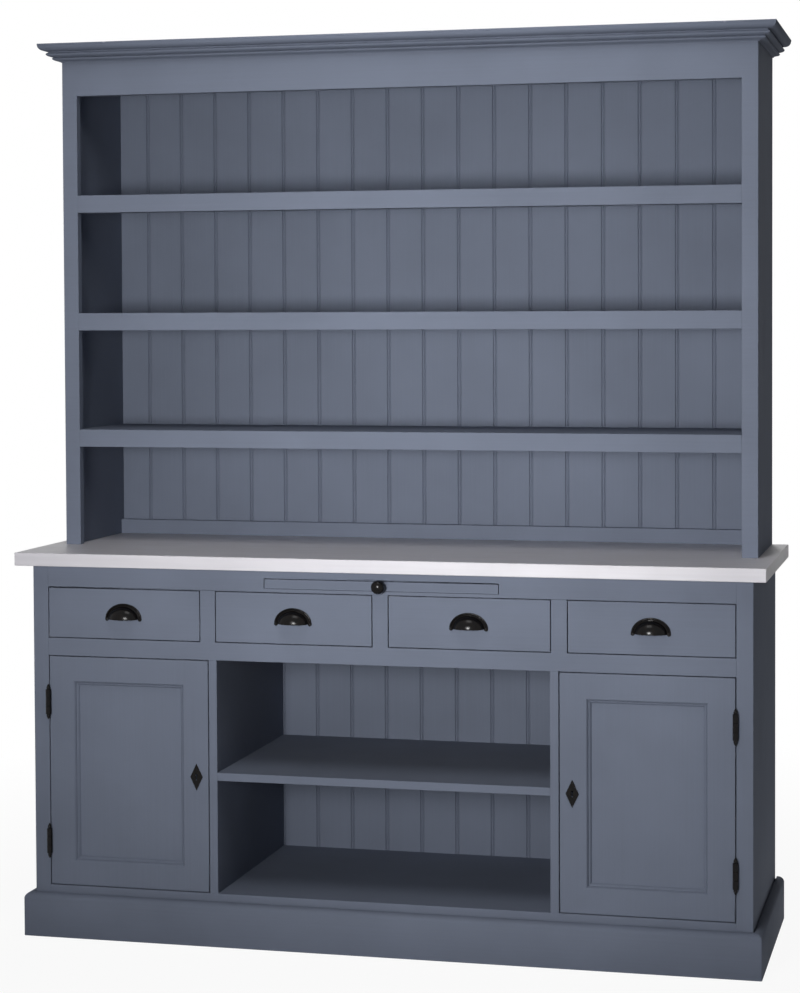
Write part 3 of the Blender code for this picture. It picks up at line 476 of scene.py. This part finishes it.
def soften(bm, radius, worn_width=0.0, node=None, least=0.0, filled=None):
    """Round the sharp edges that no neighbour covers, and mark the points beside them for the paint's wear.

    Edges shorter than the least length stay sharp, and so do those round a light that another node fills.
    """
    others = neighbours(node) if node else []
    sharp = bm.edges.layers.int.new("sharp")
    for edge in bm.edges:
        edge[sharp] = edge.calc_face_angle(0.0) > SHARP_ANGLE and edge.calc_length() > max(least, 2 * radius)
    for axis in range(3):
        corners = sorted({round(vert.co[axis], 5) for edge in bm.edges if edge[sharp] for vert in edge.verts})
        wanted = [corner[axis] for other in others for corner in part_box(other)]
        if worn_width:
            wanted += [corner + side * (radius + worn_width) for corner in corners for side in (-1, 1)]
        places = []
        for place in wanted:
            apart = min(abs(place - spot) for spot in corners + places)
            if corners[0] < place < corners[-1] and apart > SHORTEST_CUT:
                places.append(place)
        split_at(bm, axis, places)

    def free(edge):
        middle = (edge.verts[0].co + edge.verts[1].co) / 2
        if filled:
            low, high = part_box(filled)
            if all(low[k] - JOINT_REACH < middle[k] < high[k] + JOINT_REACH for k in (0, 2)):
                return False
        return all(surface(other).find_nearest(middle, JOINT_REACH)[0] is None for other in others)

    edges = [edge for edge in bm.edges if edge[sharp] and free(edge)]
    made = bmesh.ops.bevel(
        bm, geom=edges, offset=radius, offset_type="OFFSET", segments=2, profile=0.5, affect="EDGES",
        clamp_overlap=False, material=-1)
    rounded = set(made["faces"])
    marks = bm.verts.layers.float.new("arris")
    for vert in bm.verts:
        near = [face in rounded for face in vert.link_faces]
        vert[marks] = ON_ARRIS if all(near) else BESIDE_ARRIS if any(near) else 0.0
    bm.edges.layers.int.remove(sharp)


def cuboid(low, high):
    """A block between two corners."""
    bm = bmesh.new()
    bmesh.ops.create_cube(bm, size=1)
    bmesh.ops.scale(bm, vec=Vector(high) - Vector(low), verts=bm.verts)
    bmesh.ops.translate(bm, vec=(Vector(high) + Vector(low)) / 2, verts=bm.verts)
    return bm


def joined(*meshes):
    """One bmesh that holds the bodies of several."""
    whole = bmesh.new()
    for bm in meshes:
        spare = bpy.data.meshes.new("spare")
        bm.to_mesh(spare)
        bm.free()
        whole.from_mesh(spare)
        bpy.data.meshes.remove(spare)
    return whole


def turned(profile, centre, axis, steps=32):
    """Spin an open profile of (radius, distance) points round an axis through a centre."""
    bm = bmesh.new()
    axis = Vector(axis).normalized()
    side = axis.orthogonal().normalized()
    verts = [bm.verts.new(Vector(centre) + side * radius + axis * distance) for radius, distance in profile]
    edges = [bm.edges.new(pair) for pair in zip(verts, verts[1:])]
    bmesh.ops.spin(
        bm, geom=verts + edges, cent=centre, axis=axis, angle=math.tau, steps=steps, use_merge=True,
        dvec=(0, 0, 0))
    bmesh.ops.remove_doubles(bm, verts=bm.verts, dist=MERGE_DISTANCE)
    bmesh.ops.recalc_face_normals(bm, faces=bm.faces)
    return bm


class BoardsOperator(bpy.types.Operator):
    """Soften and paint the plain boards of the base and the hutch"""

    bl_idname = "dresser.boards"
    bl_label = "Boards"

    def execute(self, context):
        joinery = settings("joinery")
        for node in OUTER_BOARDS:
            bm = copied(node)
            soften(bm, joinery.arris, joinery.worn_width, node)
            paint = brushed_paint("outer", long_axis(node), BOARD_RUBBING)
            made_piece(node + "_painted", bm, node, paint)
        for node in INNER_BOARDS:
            bm = copied(node)
            soften(bm, joinery.arris, joinery.worn_width, node)
            # The inner paint is painted light: a lighter copy of the outer paint for the boards inside.
            coat = "outer" if node.endswith("shelf") and node.startswith("hutch") else "inner"
            paint = brushed_paint(coat, long_axis(node), INNER_RUBBING)
            made_piece(node + "_painted", bm, node, paint)
        for node in RUNNING_BOARDS:
            bm = copied(node)
            soften(bm, joinery.arris / 2)
            made_piece(node + "_planed", bm, node, planed_wood(1))
        return {"FINISHED"}


class BacksOperator(bpy.types.Operator):
    """Make the beaded boards of both backs"""

    bl_idname = "dresser.backs"
    bl_label = "Boarded backs"

    def execute(self, context):
        joinery = settings("joinery")
        # The backs take the inner paint, a lighter copy of the outer paint that paints on them the light they
        # catch.
        paint = brushed_paint("inner", 2, BACK_RUBBING)
        for node, first in (
                ("base_back_boards", joinery.base_joint), ("hutch_back_boards", joinery.hutch_joint)):
            low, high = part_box(node)
            made_piece(node + "_beaded", beaded_boards(low, high, first), node, paint)
        return {"FINISHED"}


def beaded_boards(low, high, first):
    """A back drawn upwards from its plan: at each joint two V grooves with a round bead between them."""
    joinery = settings("joinery")
    half_groove = joinery.groove_width / 2
    bead_half = joinery.bead_width / 2 - half_groove
    rise = joinery.groove_depth * 0.5
    steps = 6
    margin = joinery.bead_width + joinery.groove_width
    plan = [(low[0], high[1]), (low[0], low[1])]
    count = int((high[0] - low[0]) / joinery.board_pitch)
    for k in range(-count, count + 1):
        x = first + k * joinery.board_pitch
        if not low[0] + margin < x < high[0] - margin:
            continue
        second = x + joinery.bead_width
        plan += [(x - half_groove, low[1]), (x, low[1] + joinery.groove_depth)]
        for step in range(steps + 1):
            angle = math.pi * (1 - step / steps)
            across = x + half_groove + bead_half * (1 + math.cos(angle))
            plan.append((across, low[1] + rise * (1 - math.sin(angle))))
        plan += [(second, low[1] + joinery.groove_depth), (second + half_groove, low[1])]
    plan += [(high[0], low[1]), (high[0], high[1])]
    bm = bmesh.new()
    floor = bm.faces.new([bm.verts.new((x, y, low[2])) for x, y in plan])
    grown = bmesh.ops.extrude_face_region(bm, geom=[floor])["geom"]
    tops = [item for item in grown if isinstance(item, bmesh.types.BMVert)]
    bmesh.ops.translate(bm, vec=(0, 0, high[2] - low[2]), verts=tops)
    bmesh.ops.recalc_face_normals(bm, faces=bm.faces)
    return bm


def mitred(profile, inner_half, front, back, low, ease):
    """Draw a moulding's profile of (out, up, worn) round the left side, the front and the right side."""
    corners = ((-1, back, 0), (-1, front, 1), (1, front, 1), (1, back, 0))
    bm = bmesh.new()
    marks = bm.verts.layers.float.new("arris")

    def spots(side, y, turn):
        return [Vector((side * (inner_half + out), y - out * turn, low + up)) for out, up, worn in profile]

    def marked(verts):
        for vert, (out, up, worn) in zip(verts, profile):
            vert[marks] = worn

    ring = [bm.verts.new(spot) for spot in spots(*corners[0])]
    marked(ring)
    face = bm.faces.new(ring)
    mitres = []
    for step, corner in enumerate(corners[1:]):
        grown = bmesh.ops.extrude_face_region(bm, geom=[face])["geom"]
        if step:
            bmesh.ops.delete(bm, geom=[face], context="FACES_ONLY")
        face = next(item for item in grown if isinstance(item, bmesh.types.BMFace))
        before = [vert.co.copy() for vert in ring]
        ring = [min(face.verts, key=lambda vert: (vert.co - spot).length) for spot in before]
        marked(ring)
        for vert, spot in zip(ring, spots(*corner)):
            vert.co = spot
        if corner[2]:
            mitres += [bm.edges.get(pair) for pair in zip(ring[1:-1], ring[2:-1])]
    bmesh.ops.bevel(
        bm, geom=mitres, offset=ease, offset_type="OFFSET", segments=3, profile=0.5, affect="EDGES",
        clamp_overlap=True, material=-1)
    bmesh.ops.recalc_face_normals(bm, faces=bm.faces)
    return bm


class MouldingsOperator(bpy.types.Operator):
    """Make the cornice and the plinth with their full profiles"""

    bl_idname = "dresser.mouldings"
    bl_label = "Cornice and plinth"

    def execute(self, context):
        ease = settings("joinery").moulding_ease
        low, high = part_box("cornice")
        hutch_low, hutch_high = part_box("hutch_face_frame")
        profile = cornice_profile(hutch_low[1] - low[1], high[2] - low[2])
        bm = mitred(profile, hutch_high[0], hutch_low[1], high[1], low[2], ease / 2)
        paint = brushed_paint("outer", 0, CORNICE_RUBBING)
        made_piece("cornice_moulded", bm, "cornice", paint, True)
        low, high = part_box("plinth")
        base_low, base_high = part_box("base_left_stile")
        profile = plinth_profile(base_low[1] - low[1], high[2] - low[2])
        bm = mitred(profile, -base_low[0], base_low[1], high[1], low[2], ease * 2)
        paint = brushed_paint("outer", 0, PLINTH_RUBBING)
        made_piece("plinth_moulded", bm, "plinth", paint, True)
        return {"FINISHED"}


def quarter(inner, outer, worn, hollow=False, steps=8):
    """A quarter round between two points of a profile: a bulge, or a hollow one, that ends upright."""
    (x0, z0), (x1, z1) = inner, outer
    points = []
    for k in range(steps + 1):
        a = math.pi / 2 * k / steps
        if hollow:
            points.append((x1 - (x1 - x0) * math.cos(a), z0 + (z1 - z0) * math.sin(a), worn))
        else:
            points.append((x0 + (x1 - x0) * math.sin(a), z1 - (z1 - z0) * math.cos(a), worn))
    return points


def bead(lower, upper, swell, worn, steps=6):
    """A half round that swells out of the line between two points of a profile."""
    (x0, z0), (x1, z1) = lower, upper
    points = []
    for k in range(steps + 1):
        share = k / steps
        out = x0 + (x1 - x0) * share + swell * math.sin(math.pi * share)
        points.append((out, z0 + (z1 - z0) * share, worn))
    return points


def cornice_profile(out, height):
    """From the foot up: a cove, a bead, a soffit, a larger bead, a quirk, a quarter round and a fillet."""
    nib = 0.0004
    swell = out * 0.06

    def place(across, up):
        return out * across, height * up

    def plain(across, up, worn=0.0):
        return [(*place(across, up), worn)]

    points = [(SEAT, 0.0, 0.0)]
    points += plain(0.05, 0.0)
    points += quarter(place(0.06, 0.01), place(0.30, 0.09), 0.0, True, 5)
    points += bead(place(0.32, 0.10), place(0.36, 0.24), swell, 0.5)
    points += plain(0.34, 0.26) + plain(0.54, 0.31)
    points += bead(place(0.58, 0.33), place(0.60, 0.50), swell, 0.75)
    points += plain(0.55, 0.51) + plain(0.55, 0.585)
    points += quarter(place(0.68, 0.60), place(0.985, 0.89), 0.4)
    points += plain(1.0, 0.895, 0.9)
    points += [(out, height - nib, 1.0), (out - nib, height, 1.0), (SEAT, height, 0.0)]
    return points


def plinth_profile(out, height):
    """A flat face with a broad rounded shoulder, and a quirk where its top meets the frame."""
    shoulder_up, shoulder_in, quirk, steps = height * 0.13, out * 0.7, 0.002, 8
    points = [(SEAT, 0.0, 0.0), (out - SEAT, 0.0, 0.0), (out, SEAT, 0.3)]
    for k in range(steps + 1):
        a = math.pi / 2 * k / steps
        across = out - shoulder_in + shoulder_in * math.cos(a)
        points.append((across, height - shoulder_up + shoulder_up * math.sin(a), 0.55))
    floor = height - quirk * 3
    points += [(quirk * 2, height, 0.0), (quirk * 1.5, floor, 0.0), (SEAT, floor, 0.0)]
    return points


class DrawersOperator(bpy.types.Operator):
    """Paint the drawer fronts and the pull-out board, and plane the drawer boxes"""

    bl_idname = "dresser.drawers"
    bl_label = "Drawers and pull-out board"

    def execute(self, context):
        joinery = settings("joinery")
        paint = brushed_paint("outer", 0, settings("paint").rubbing)
        for number in DRAWERS:
            node = f"drawer_{number}_front"
            bm = copied(node)
            soften(bm, joinery.front_arris, joinery.worn_width)
            made_piece(node + "_painted", bm, node, paint)
            node = f"drawer_{number}_box"
            bm = copied(node)
            soften(bm, joinery.arris / 2)
            made_piece(node + "_planed", bm, node, planed_wood(1))
        bm = copied("pull_out_board")
        soften(bm, joinery.arris, joinery.worn_width)
        made_piece("pull_out_board_painted", bm, "pull_out_board", paint)
        low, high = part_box("worktop")
        bm = cuboid(low, high)
        soften(bm, joinery.arris * 1.5, joinery.worn_width)
        made_piece("worktop_painted", bm, "worktop", worktop_paint(0))
        return {"FINISHED"}


class DoorsOperator(bpy.types.Operator):
    """Make the doors: painted frames, and panels with their mouldings"""

    bl_idname = "dresser.doors"
    bl_label = "Doors"

    def execute(self, context):
        joinery = settings("joinery")
        paint = brushed_paint("outer", 2, settings("paint").rubbing)
        for word in SIDES:
            node, panel = f"{word}_door_frame", f"{word}_door_panel"
            bm = copied(node)
            soften(bm, joinery.front_arris, joinery.worn_width, least=joinery.keyhole, filled=panel)
            made_piece(node + "_painted", bm, node, paint)
            made_piece(panel + "_moulded", moulded_panel(panel), panel, paint)
        return {"FINISHED"}


def moulded_panel(node):
    """A flat panel inside two slopes with a quirk and a lip between them, from the door's face inwards."""
    low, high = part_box(node)
    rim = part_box(node.replace("panel", "frame"))[0][1] + 0.0001
    bm = cuboid((low[0] - SEAT, rim, low[2] - SEAT), (high[0] + SEAT, high[1], high[2] + SEAT))
    marks = bm.verts.layers.float.new("arris")
    front = min(bm.faces, key=lambda face: face.calc_center_median().y)
    steps = [(0.0004 + SEAT, 0.0, 0.55)]
    steps += fall(0.0042, 0.0056, 0.75)
    steps += [(0.0003, -0.0010, 0.0), (0.0005, 0.0010, 0.6), (0.0014, 0.0, 0.6)]
    steps += fall(0.0047, 0.0060, 0.6)
    steps += [(0.0006, -0.0004, 0.0)]
    for inward, outward, worn in steps:
        bmesh.ops.inset_individual(
            bm, faces=[front], thickness=inward, depth=outward, use_even_offset=True)
        for vert in front.verts:
            vert[marks] = worn
    return bm


def fall(across, down, worn):
    """Three insets down a slope that grows steeper, as (inward, outward, worn)."""
    return [(across * (5 - k) / 12, -down * (3 + k) / 12, worn * (1 - 0.5 * k)) for k in range(3)]


def slotted_screw(centre, axis, radius):
    """A domed screw head, cut across by a slot."""
    halves = []
    axis = Vector(axis).normalized()
    across = Vector((0, 0, 1)) if abs(axis.z) < 0.5 else Vector((1, 0, 0))
    dome, half_slot = radius * 0.55, radius * 0.14
    profile = [(radius, 0.0)]
    profile += [(radius * math.cos(a), dome * math.sin(a)) for a in (0.35, 0.7, 1.05, 1.35)]
    profile.append((0.0, dome))
    for side in (-1, 1):
        bm = turned(profile, centre, axis, 24)
        cut = bmesh.ops.bisect_plane(
            bm, geom=bm.verts[:] + bm.edges[:] + bm.faces[:],
            plane_co=Vector(centre) + across * side * half_slot, plane_no=across * side, clear_inner=True)
        rim = [item for item in cut["geom_cut"] if isinstance(item, bmesh.types.BMEdge)]
        bmesh.ops.contextual_create(bm, geom=rim)
        halves.append(bm)
    return halves


class CupPullsOperator(bpy.types.Operator):
    """Make the four cast cup pulls"""

    bl_idname = "dresser.cup_pulls"
    bl_label = "Cup pulls"

    def execute(self, context):
        for number in DRAWERS:
            node = f"drawer_{number}_cup_pull"
            made_piece(node + "_cast", cup_pull(node), node, black_iron(), True)
        return {"FINISHED"}


def cup_pull(node):
    """Half of a turned cup, flattened to an arch: a hollow dome in a ring and a round bead, and two feet."""
    iron = settings("ironwork")
    low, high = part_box(node)
    centre = Vector(((low[0] + high[0]) / 2, high[1], high[2] - iron.pull_height))
    half, out = (high[0] - low[0]) / 2, high[1] - low[1]
    cup = half - iron.pull_rim
    inner, hollow = cup - iron.pull_wall, out - iron.pull_wall
    bead = iron.pull_rim * 0.28
    step = math.radians(6)
    profile = [(cup * math.cos(step * k), out * math.sin(step * k)) for k in range(15, 0, -1)]
    profile += [(cup + bead * 0.3, bead * 0.7), (half - 2.3 * bead, bead * 0.6)]
    profile += [(half - bead + bead * math.cos(math.pi * k / 8), bead * (0.35 + math.sin(math.pi * k / 8)))
                for k in range(8, -1, -1)]
    profile += [(half, 0.0), (inner, 0.0)]
    profile += [(inner * math.cos(step * k), hollow * math.sin(step * k)) for k in range(1, 16)]
    bm = bmesh.new()
    verts = [bm.verts.new(centre + Vector((radius, -distance, 0))) for radius, distance in profile]
    edges = [bm.edges.new(pair) for pair in zip(verts, verts[1:])]
    bmesh.ops.spin(
        bm, geom=verts + edges, cent=centre, axis=(0, -1, 0), angle=math.pi, steps=44, use_merge=False,
        dvec=(0, 0, 0))
    bmesh.ops.remove_doubles(bm, verts=bm.verts, dist=MERGE_DISTANCE)
    flat = Matrix.Diagonal((1, 1, iron.pull_height / half))
    bmesh.ops.transform(bm, matrix=flat.to_4x4(), space=Matrix.Translation(-centre), verts=bm.verts)
    mouth = bmesh.ops.holes_fill(bm, edges=[edge for edge in bm.edges if edge.is_boundary], sides=0)["faces"]
    bmesh.ops.recalc_face_normals(bm, faces=bm.faces)
    lips = [edge for face in mouth for edge in face.edges if edge.calc_face_angle(0.0) > SHARP_ANGLE]
    bmesh.ops.bevel(
        bm, geom=lips, offset=iron.pull_wall / 4, offset_type="OFFSET", segments=2, profile=0.5,
        affect="EDGES", clamp_overlap=True, material=-1)
    parts = [bm]
    radius, top = iron.pull_foot, 0.0030
    foot = [(0.0, 0.0), (radius, 0.0), (radius, top * 0.7), (radius * 0.85, top), (0.0, top)]
    for side in (-1, 1):
        spot = centre + Vector((side * (half - radius), 0, 0))
        parts.append(turned(foot, spot, (0, -1, 0), 24))
        parts += slotted_screw(spot + Vector((0, -top, 0)), (0, -1, 0), iron.screw)
    return joined(*parts)


class IronworkOperator(bpy.types.Operator):
    """Make the knob, the escutcheons, the hinges and the locks"""

    bl_idname = "dresser.ironwork"
    bl_label = "Knob, hinges, escutcheons and locks"

    def execute(self, context):
        iron = black_iron()
        bolt_ease = 0.0008
        made_piece("pull_out_board_knob_turned", knob(), "pull_out_board_knob", iron, True)
        for word in SIDES:
            node = f"{word}_door_escutcheon"
            made_piece(node + "_cut", escutcheon(node), node, iron)
            for level in LEVELS:
                for half in ("fixed", "moving"):
                    node = f"{word}_{level}_hinge_{half}"
                    made_piece(node + "_turned", hinge_half(node, half), node, iron, True)
            node = f"{word}_door_lock_case"
            made_piece(node + "_screwed", lock_case(node), node, brushed_steel(2))
            node = f"{word}_door_lock_bolt"
            bm = copied(node)
            soften(bm, bolt_ease)
            made_piece(node + "_filed", bm, node, brushed_steel(0))
        return {"FINISHED"}


def escutcheon(node):
    """A diamond plate with softened edges, and a domed pin near its foot and its top."""
    ease, inset = 0.0005, 0.009
    bm = copied(node)
    soften(bm, ease)
    low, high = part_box(node)
    middle = (low[0] + high[0]) / 2
    head = [(0.0014, 0.0), (0.0011, 0.0005), (0.0, 0.0008)]
    heights = (low[2] + inset, high[2] - inset)
    return joined(bm, *[turned(head, (middle, low[1], height), (0, -1, 0), 12) for height in heights])


def lock_case(node):
    """A steel case with softened edges, and a screw at each corner."""
    ease, inset = 0.0006, 0.006
    bm = copied(node)
    soften(bm, ease)
    low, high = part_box(node)
    screws = []
    for x in (low[0] + inset, high[0] - inset):
        for z in (low[2] + inset, high[2] - inset):
            screws += slotted_screw((x, high[1], z), (0, 1, 0), settings("ironwork").screw)
    return joined(bm, *screws)


def knob():
    """A round knob: a flared foot, a waist, and a flattened ball."""
    low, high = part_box("pull_out_board_knob")
    centre = ((low[0] + high[0]) / 2, high[1], (low[2] + high[2]) / 2)
    radius = (high[0] - low[0]) / 2
    reach = high[1] - low[1]
    start, sweep, steps = -72, 162, 14
    foot = [(radius * across, reach * out) for across, out in KNOB_FOOT_SHARES]
    ball = [(radius * math.cos(a), reach * 0.68 + reach * 0.32 * math.sin(a))
            for a in [math.radians(start + sweep * k / steps) for k in range(steps)]]
    return turned(foot + ball + [(0.0, reach)], centre, (0, -1, 0), 48)


def hinge_half(node, half):
    """The barrel's knuckles with their leaf; the fixed half also has the pin and the tapered tips."""
    low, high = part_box(node)
    fixed_low, fixed_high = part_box(node.replace(half, "fixed"))
    moving_low, moving_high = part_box(node.replace(half, "moving"))
    side = -1 if low[0] < 0 else 1
    radius = (high[0] - low[0]) / 2
    axis_x, axis_y, middle = (low[0] + high[0]) / 2, low[1] + radius, (low[2] + high[2]) / 2
    end = (moving_high[2] - moving_low[2]) / 2
    tip = (fixed_high[2] - fixed_low[2]) / 2 - end
    leaf, ease, play = 0.0007, 0.0005, 0.0001
    knuckle = end / 3 - play
    leaf_back, leaf_front = axis_y + radius * 0.7, axis_y + radius + 2 * SEAT
    plates = [((leaf_front, -end), (high[1], end))]
    if half == "moving":
        sign = -side
        bore = radius * 0.52
        profile = [(bore, -knuckle), (radius - ease, -knuckle), (radius, ease - knuckle),
                   (radius, knuckle - ease), (radius - ease, knuckle), (bore, knuckle), (bore, -knuckle)]
        plates.append(((leaf_back, -knuckle), (leaf_front + leaf, knuckle)))
    else:
        sign = side
        inner = knuckle + SEAT
        upper = [(radius * 0.46, inner), (radius - ease, inner), (radius, inner + ease),
                 (radius, end - ease), (radius - ease, end)]
        upper += [(radius * across, end + tip * up) for across, up in HINGE_TIP_SHARES]
        profile = [(across, -up) for across, up in reversed(upper)] + upper
        plates.append(((leaf_back, inner), (leaf_front + leaf, end)))
        plates.append(((leaf_back, -end), (leaf_front + leaf, -inner)))
    bodies = [turned(profile, (axis_x, axis_y, middle), (0, 0, 1))]
    near, far = sorted((axis_x + sign * SEAT / 2, axis_x + sign * (SEAT / 2 + leaf)))
    for (y0, z0), (y1, z1) in plates:
        bodies.append(cuboid((near, y0, middle + z0), (far, y1, middle + z1)))
    return joined(*bodies)


class StageOperator(bpy.types.Operator):
    """Set the floor, the white surroundings, the four soft boxes and the camera"""

    bl_idname = "dresser.stage"
    bl_label = "Stage, lamps and camera"

    def execute(self, context):
        studio = settings("studio")
        scene = context.scene
        scene.view_settings.view_transform = "Standard"
        half_floor = 40
        bm = bmesh.new()
        bmesh.ops.create_grid(bm, x_segments=2, y_segments=2, size=half_floor)
        mesh = bpy.data.meshes.new("studio_floor")
        bm.to_mesh(mesh)
        bm.free()
        floor = bpy.data.objects.new("studio_floor", mesh)
        scene.collection.objects.link(floor)
        mesh.materials.append(floor_material())
        set_world(scene, studio.fill)

        for name, target, size, spread in (
                ("broad", (1.2, 0.0, 2.2), 1.0, math.pi),
                ("gridded", (0.15, 0.0, 1.4), 0.8, math.radians(50)),
                ("overhead", (0.0, 0.0, 1.4), 1.2, math.pi),
                ("rear", (0.0, 0.0, 1.1), 1.0, math.pi)):
            place, power = getattr(studio, name + "_lamp"), getattr(studio, name + "_power")
            soft_box(name + "_lamp", place, target, size, power, spread)

        camera_data = bpy.data.cameras.new("camera")
        camera_data.lens = studio.lens
        camera_data.shift_x = studio.shift_x
        camera_data.shift_y = studio.shift_y
        camera = bpy.data.objects.new("camera", camera_data)
        stance = Matrix.Rotation(studio.turn, 4, "Z") @ Matrix.Rotation(math.pi / 2 + studio.tilt, 4, "X")
        stance = stance @ Matrix.Rotation(studio.roll, 4, "Z")
        camera.matrix_world = Matrix.Translation(studio.camera) @ stance
        scene.collection.objects.link(camera)
        scene.camera = camera
        return {"FINISHED"}


def soft_box(name, place, target, size, power, spread):
    """A square lamp at a place, turned towards a target."""
    data = bpy.data.lights.new(name, "AREA")
    data.shape = "SQUARE"
    data.size = size
    data.energy = power
    data.spread = spread
    lamp = bpy.data.objects.new(name, data)
    lamp.location = place
    lamp.rotation_euler = (Vector(target) - Vector(place)).to_track_quat("-Z", "Y").to_euler()
    bpy.context.scene.collection.objects.link(lamp)


def floor_material():
    """A pale floor that the camera sees as white, apart from the soft shadow near the dresser."""
    material, tree, shader = shaded("studio_white", Roughness=0.9, Base_Color=(0.80, 0.80, 0.80, 1.0))
    near, far = 1.1, 2.6
    glow = add(tree, "ShaderNodeEmission", {"Color": (1, 1, 1, 1), "Strength": 1.0})
    place = add(tree, "ShaderNodeTexCoord").outputs["Object"]
    distance = add(tree, "ShaderNodeVectorMath", {0: place}, operation="LENGTH").outputs["Value"]
    share = ranged(tree, distance, near, far, 0.93, 1.0)
    seen = maths(tree, "MULTIPLY", seen_by_eye(tree), share)
    mix = add(tree, "ShaderNodeMixShader", {0: seen, 1: shader.outputs[0], 2: glow.outputs[0]})
    out = next(node for node in tree.nodes if node.type == "OUTPUT_MATERIAL")
    tree.links.new(mix.outputs[0], out.inputs["Surface"])
    return material


def seen_by_eye(tree):
    """One where a ray comes from the camera, a mirror or glass."""
    paths = add(tree, "ShaderNodeLightPath")
    rays = maths(tree, "MAXIMUM", paths.outputs["Is Camera Ray"], paths.outputs["Is Glossy Ray"])
    return maths(tree, "MAXIMUM", rays, paths.outputs["Is Transmission Ray"])


def set_world(scene, fill):
    """White surroundings for the eye, and a gentle even fill for everything else."""
    world = bpy.data.worlds.new("studio_surroundings")
    world.use_nodes = True
    tree = world.node_tree
    background = tree.nodes["Background"]
    background.inputs["Color"].default_value = (1, 1, 1, 1)
    strength = ranged(tree, seen_by_eye(tree), 0.0, 1.0, fill, 1.0)
    tree.links.new(strength, background.inputs["Strength"])
    scene.world = world


class DresserPanel(bpy.types.Panel):
    """A button for each step of the dresser"""

    bl_idname = "VIEW3D_PT_dresser"
    bl_label = "Kitchen dresser"
    bl_space_type = "VIEW_3D"
    bl_region_type = "UI"
    bl_category = "Dresser"

    def draw(self, context):
        for operator in OPERATORS:
            self.layout.operator(operator.bl_idname)


GROUPS = {
    "paint": PaintSettings,
    "joinery": JoinerySettings,
    "ironwork": IronworkSettings,
    "studio": StudioSettings,
}
OPERATORS = (
    BoardsOperator, BacksOperator, MouldingsOperator, DrawersOperator, DoorsOperator, CupPullsOperator,
    IronworkOperator, StageOperator,
)


def register():
    for cls in (*GROUPS.values(), *OPERATORS, DresserPanel):
        bpy.utils.register_class(cls)
    for name, cls in GROUPS.items():
        setattr(bpy.types.Scene, "dresser_" + name, PointerProperty(type=cls))


def unregister():
    for name in GROUPS:
        delattr(bpy.types.Scene, "dresser_" + name)
    for cls in (DresserPanel, *reversed(OPERATORS), *reversed(GROUPS.values())):
        bpy.utils.unregister_class(cls)


def main():
    register()
    bpy.ops.dresser.boards()
    bpy.ops.dresser.backs()
    bpy.ops.dresser.mouldings()
    bpy.ops.dresser.drawers()
    bpy.ops.dresser.doors()
    bpy.ops.dresser.cup_pulls()
    bpy.ops.dresser.ironwork()
    bpy.ops.dresser.stage()
    bpy.context.view_layer.update()


if __name__ == "__main__":
    main()
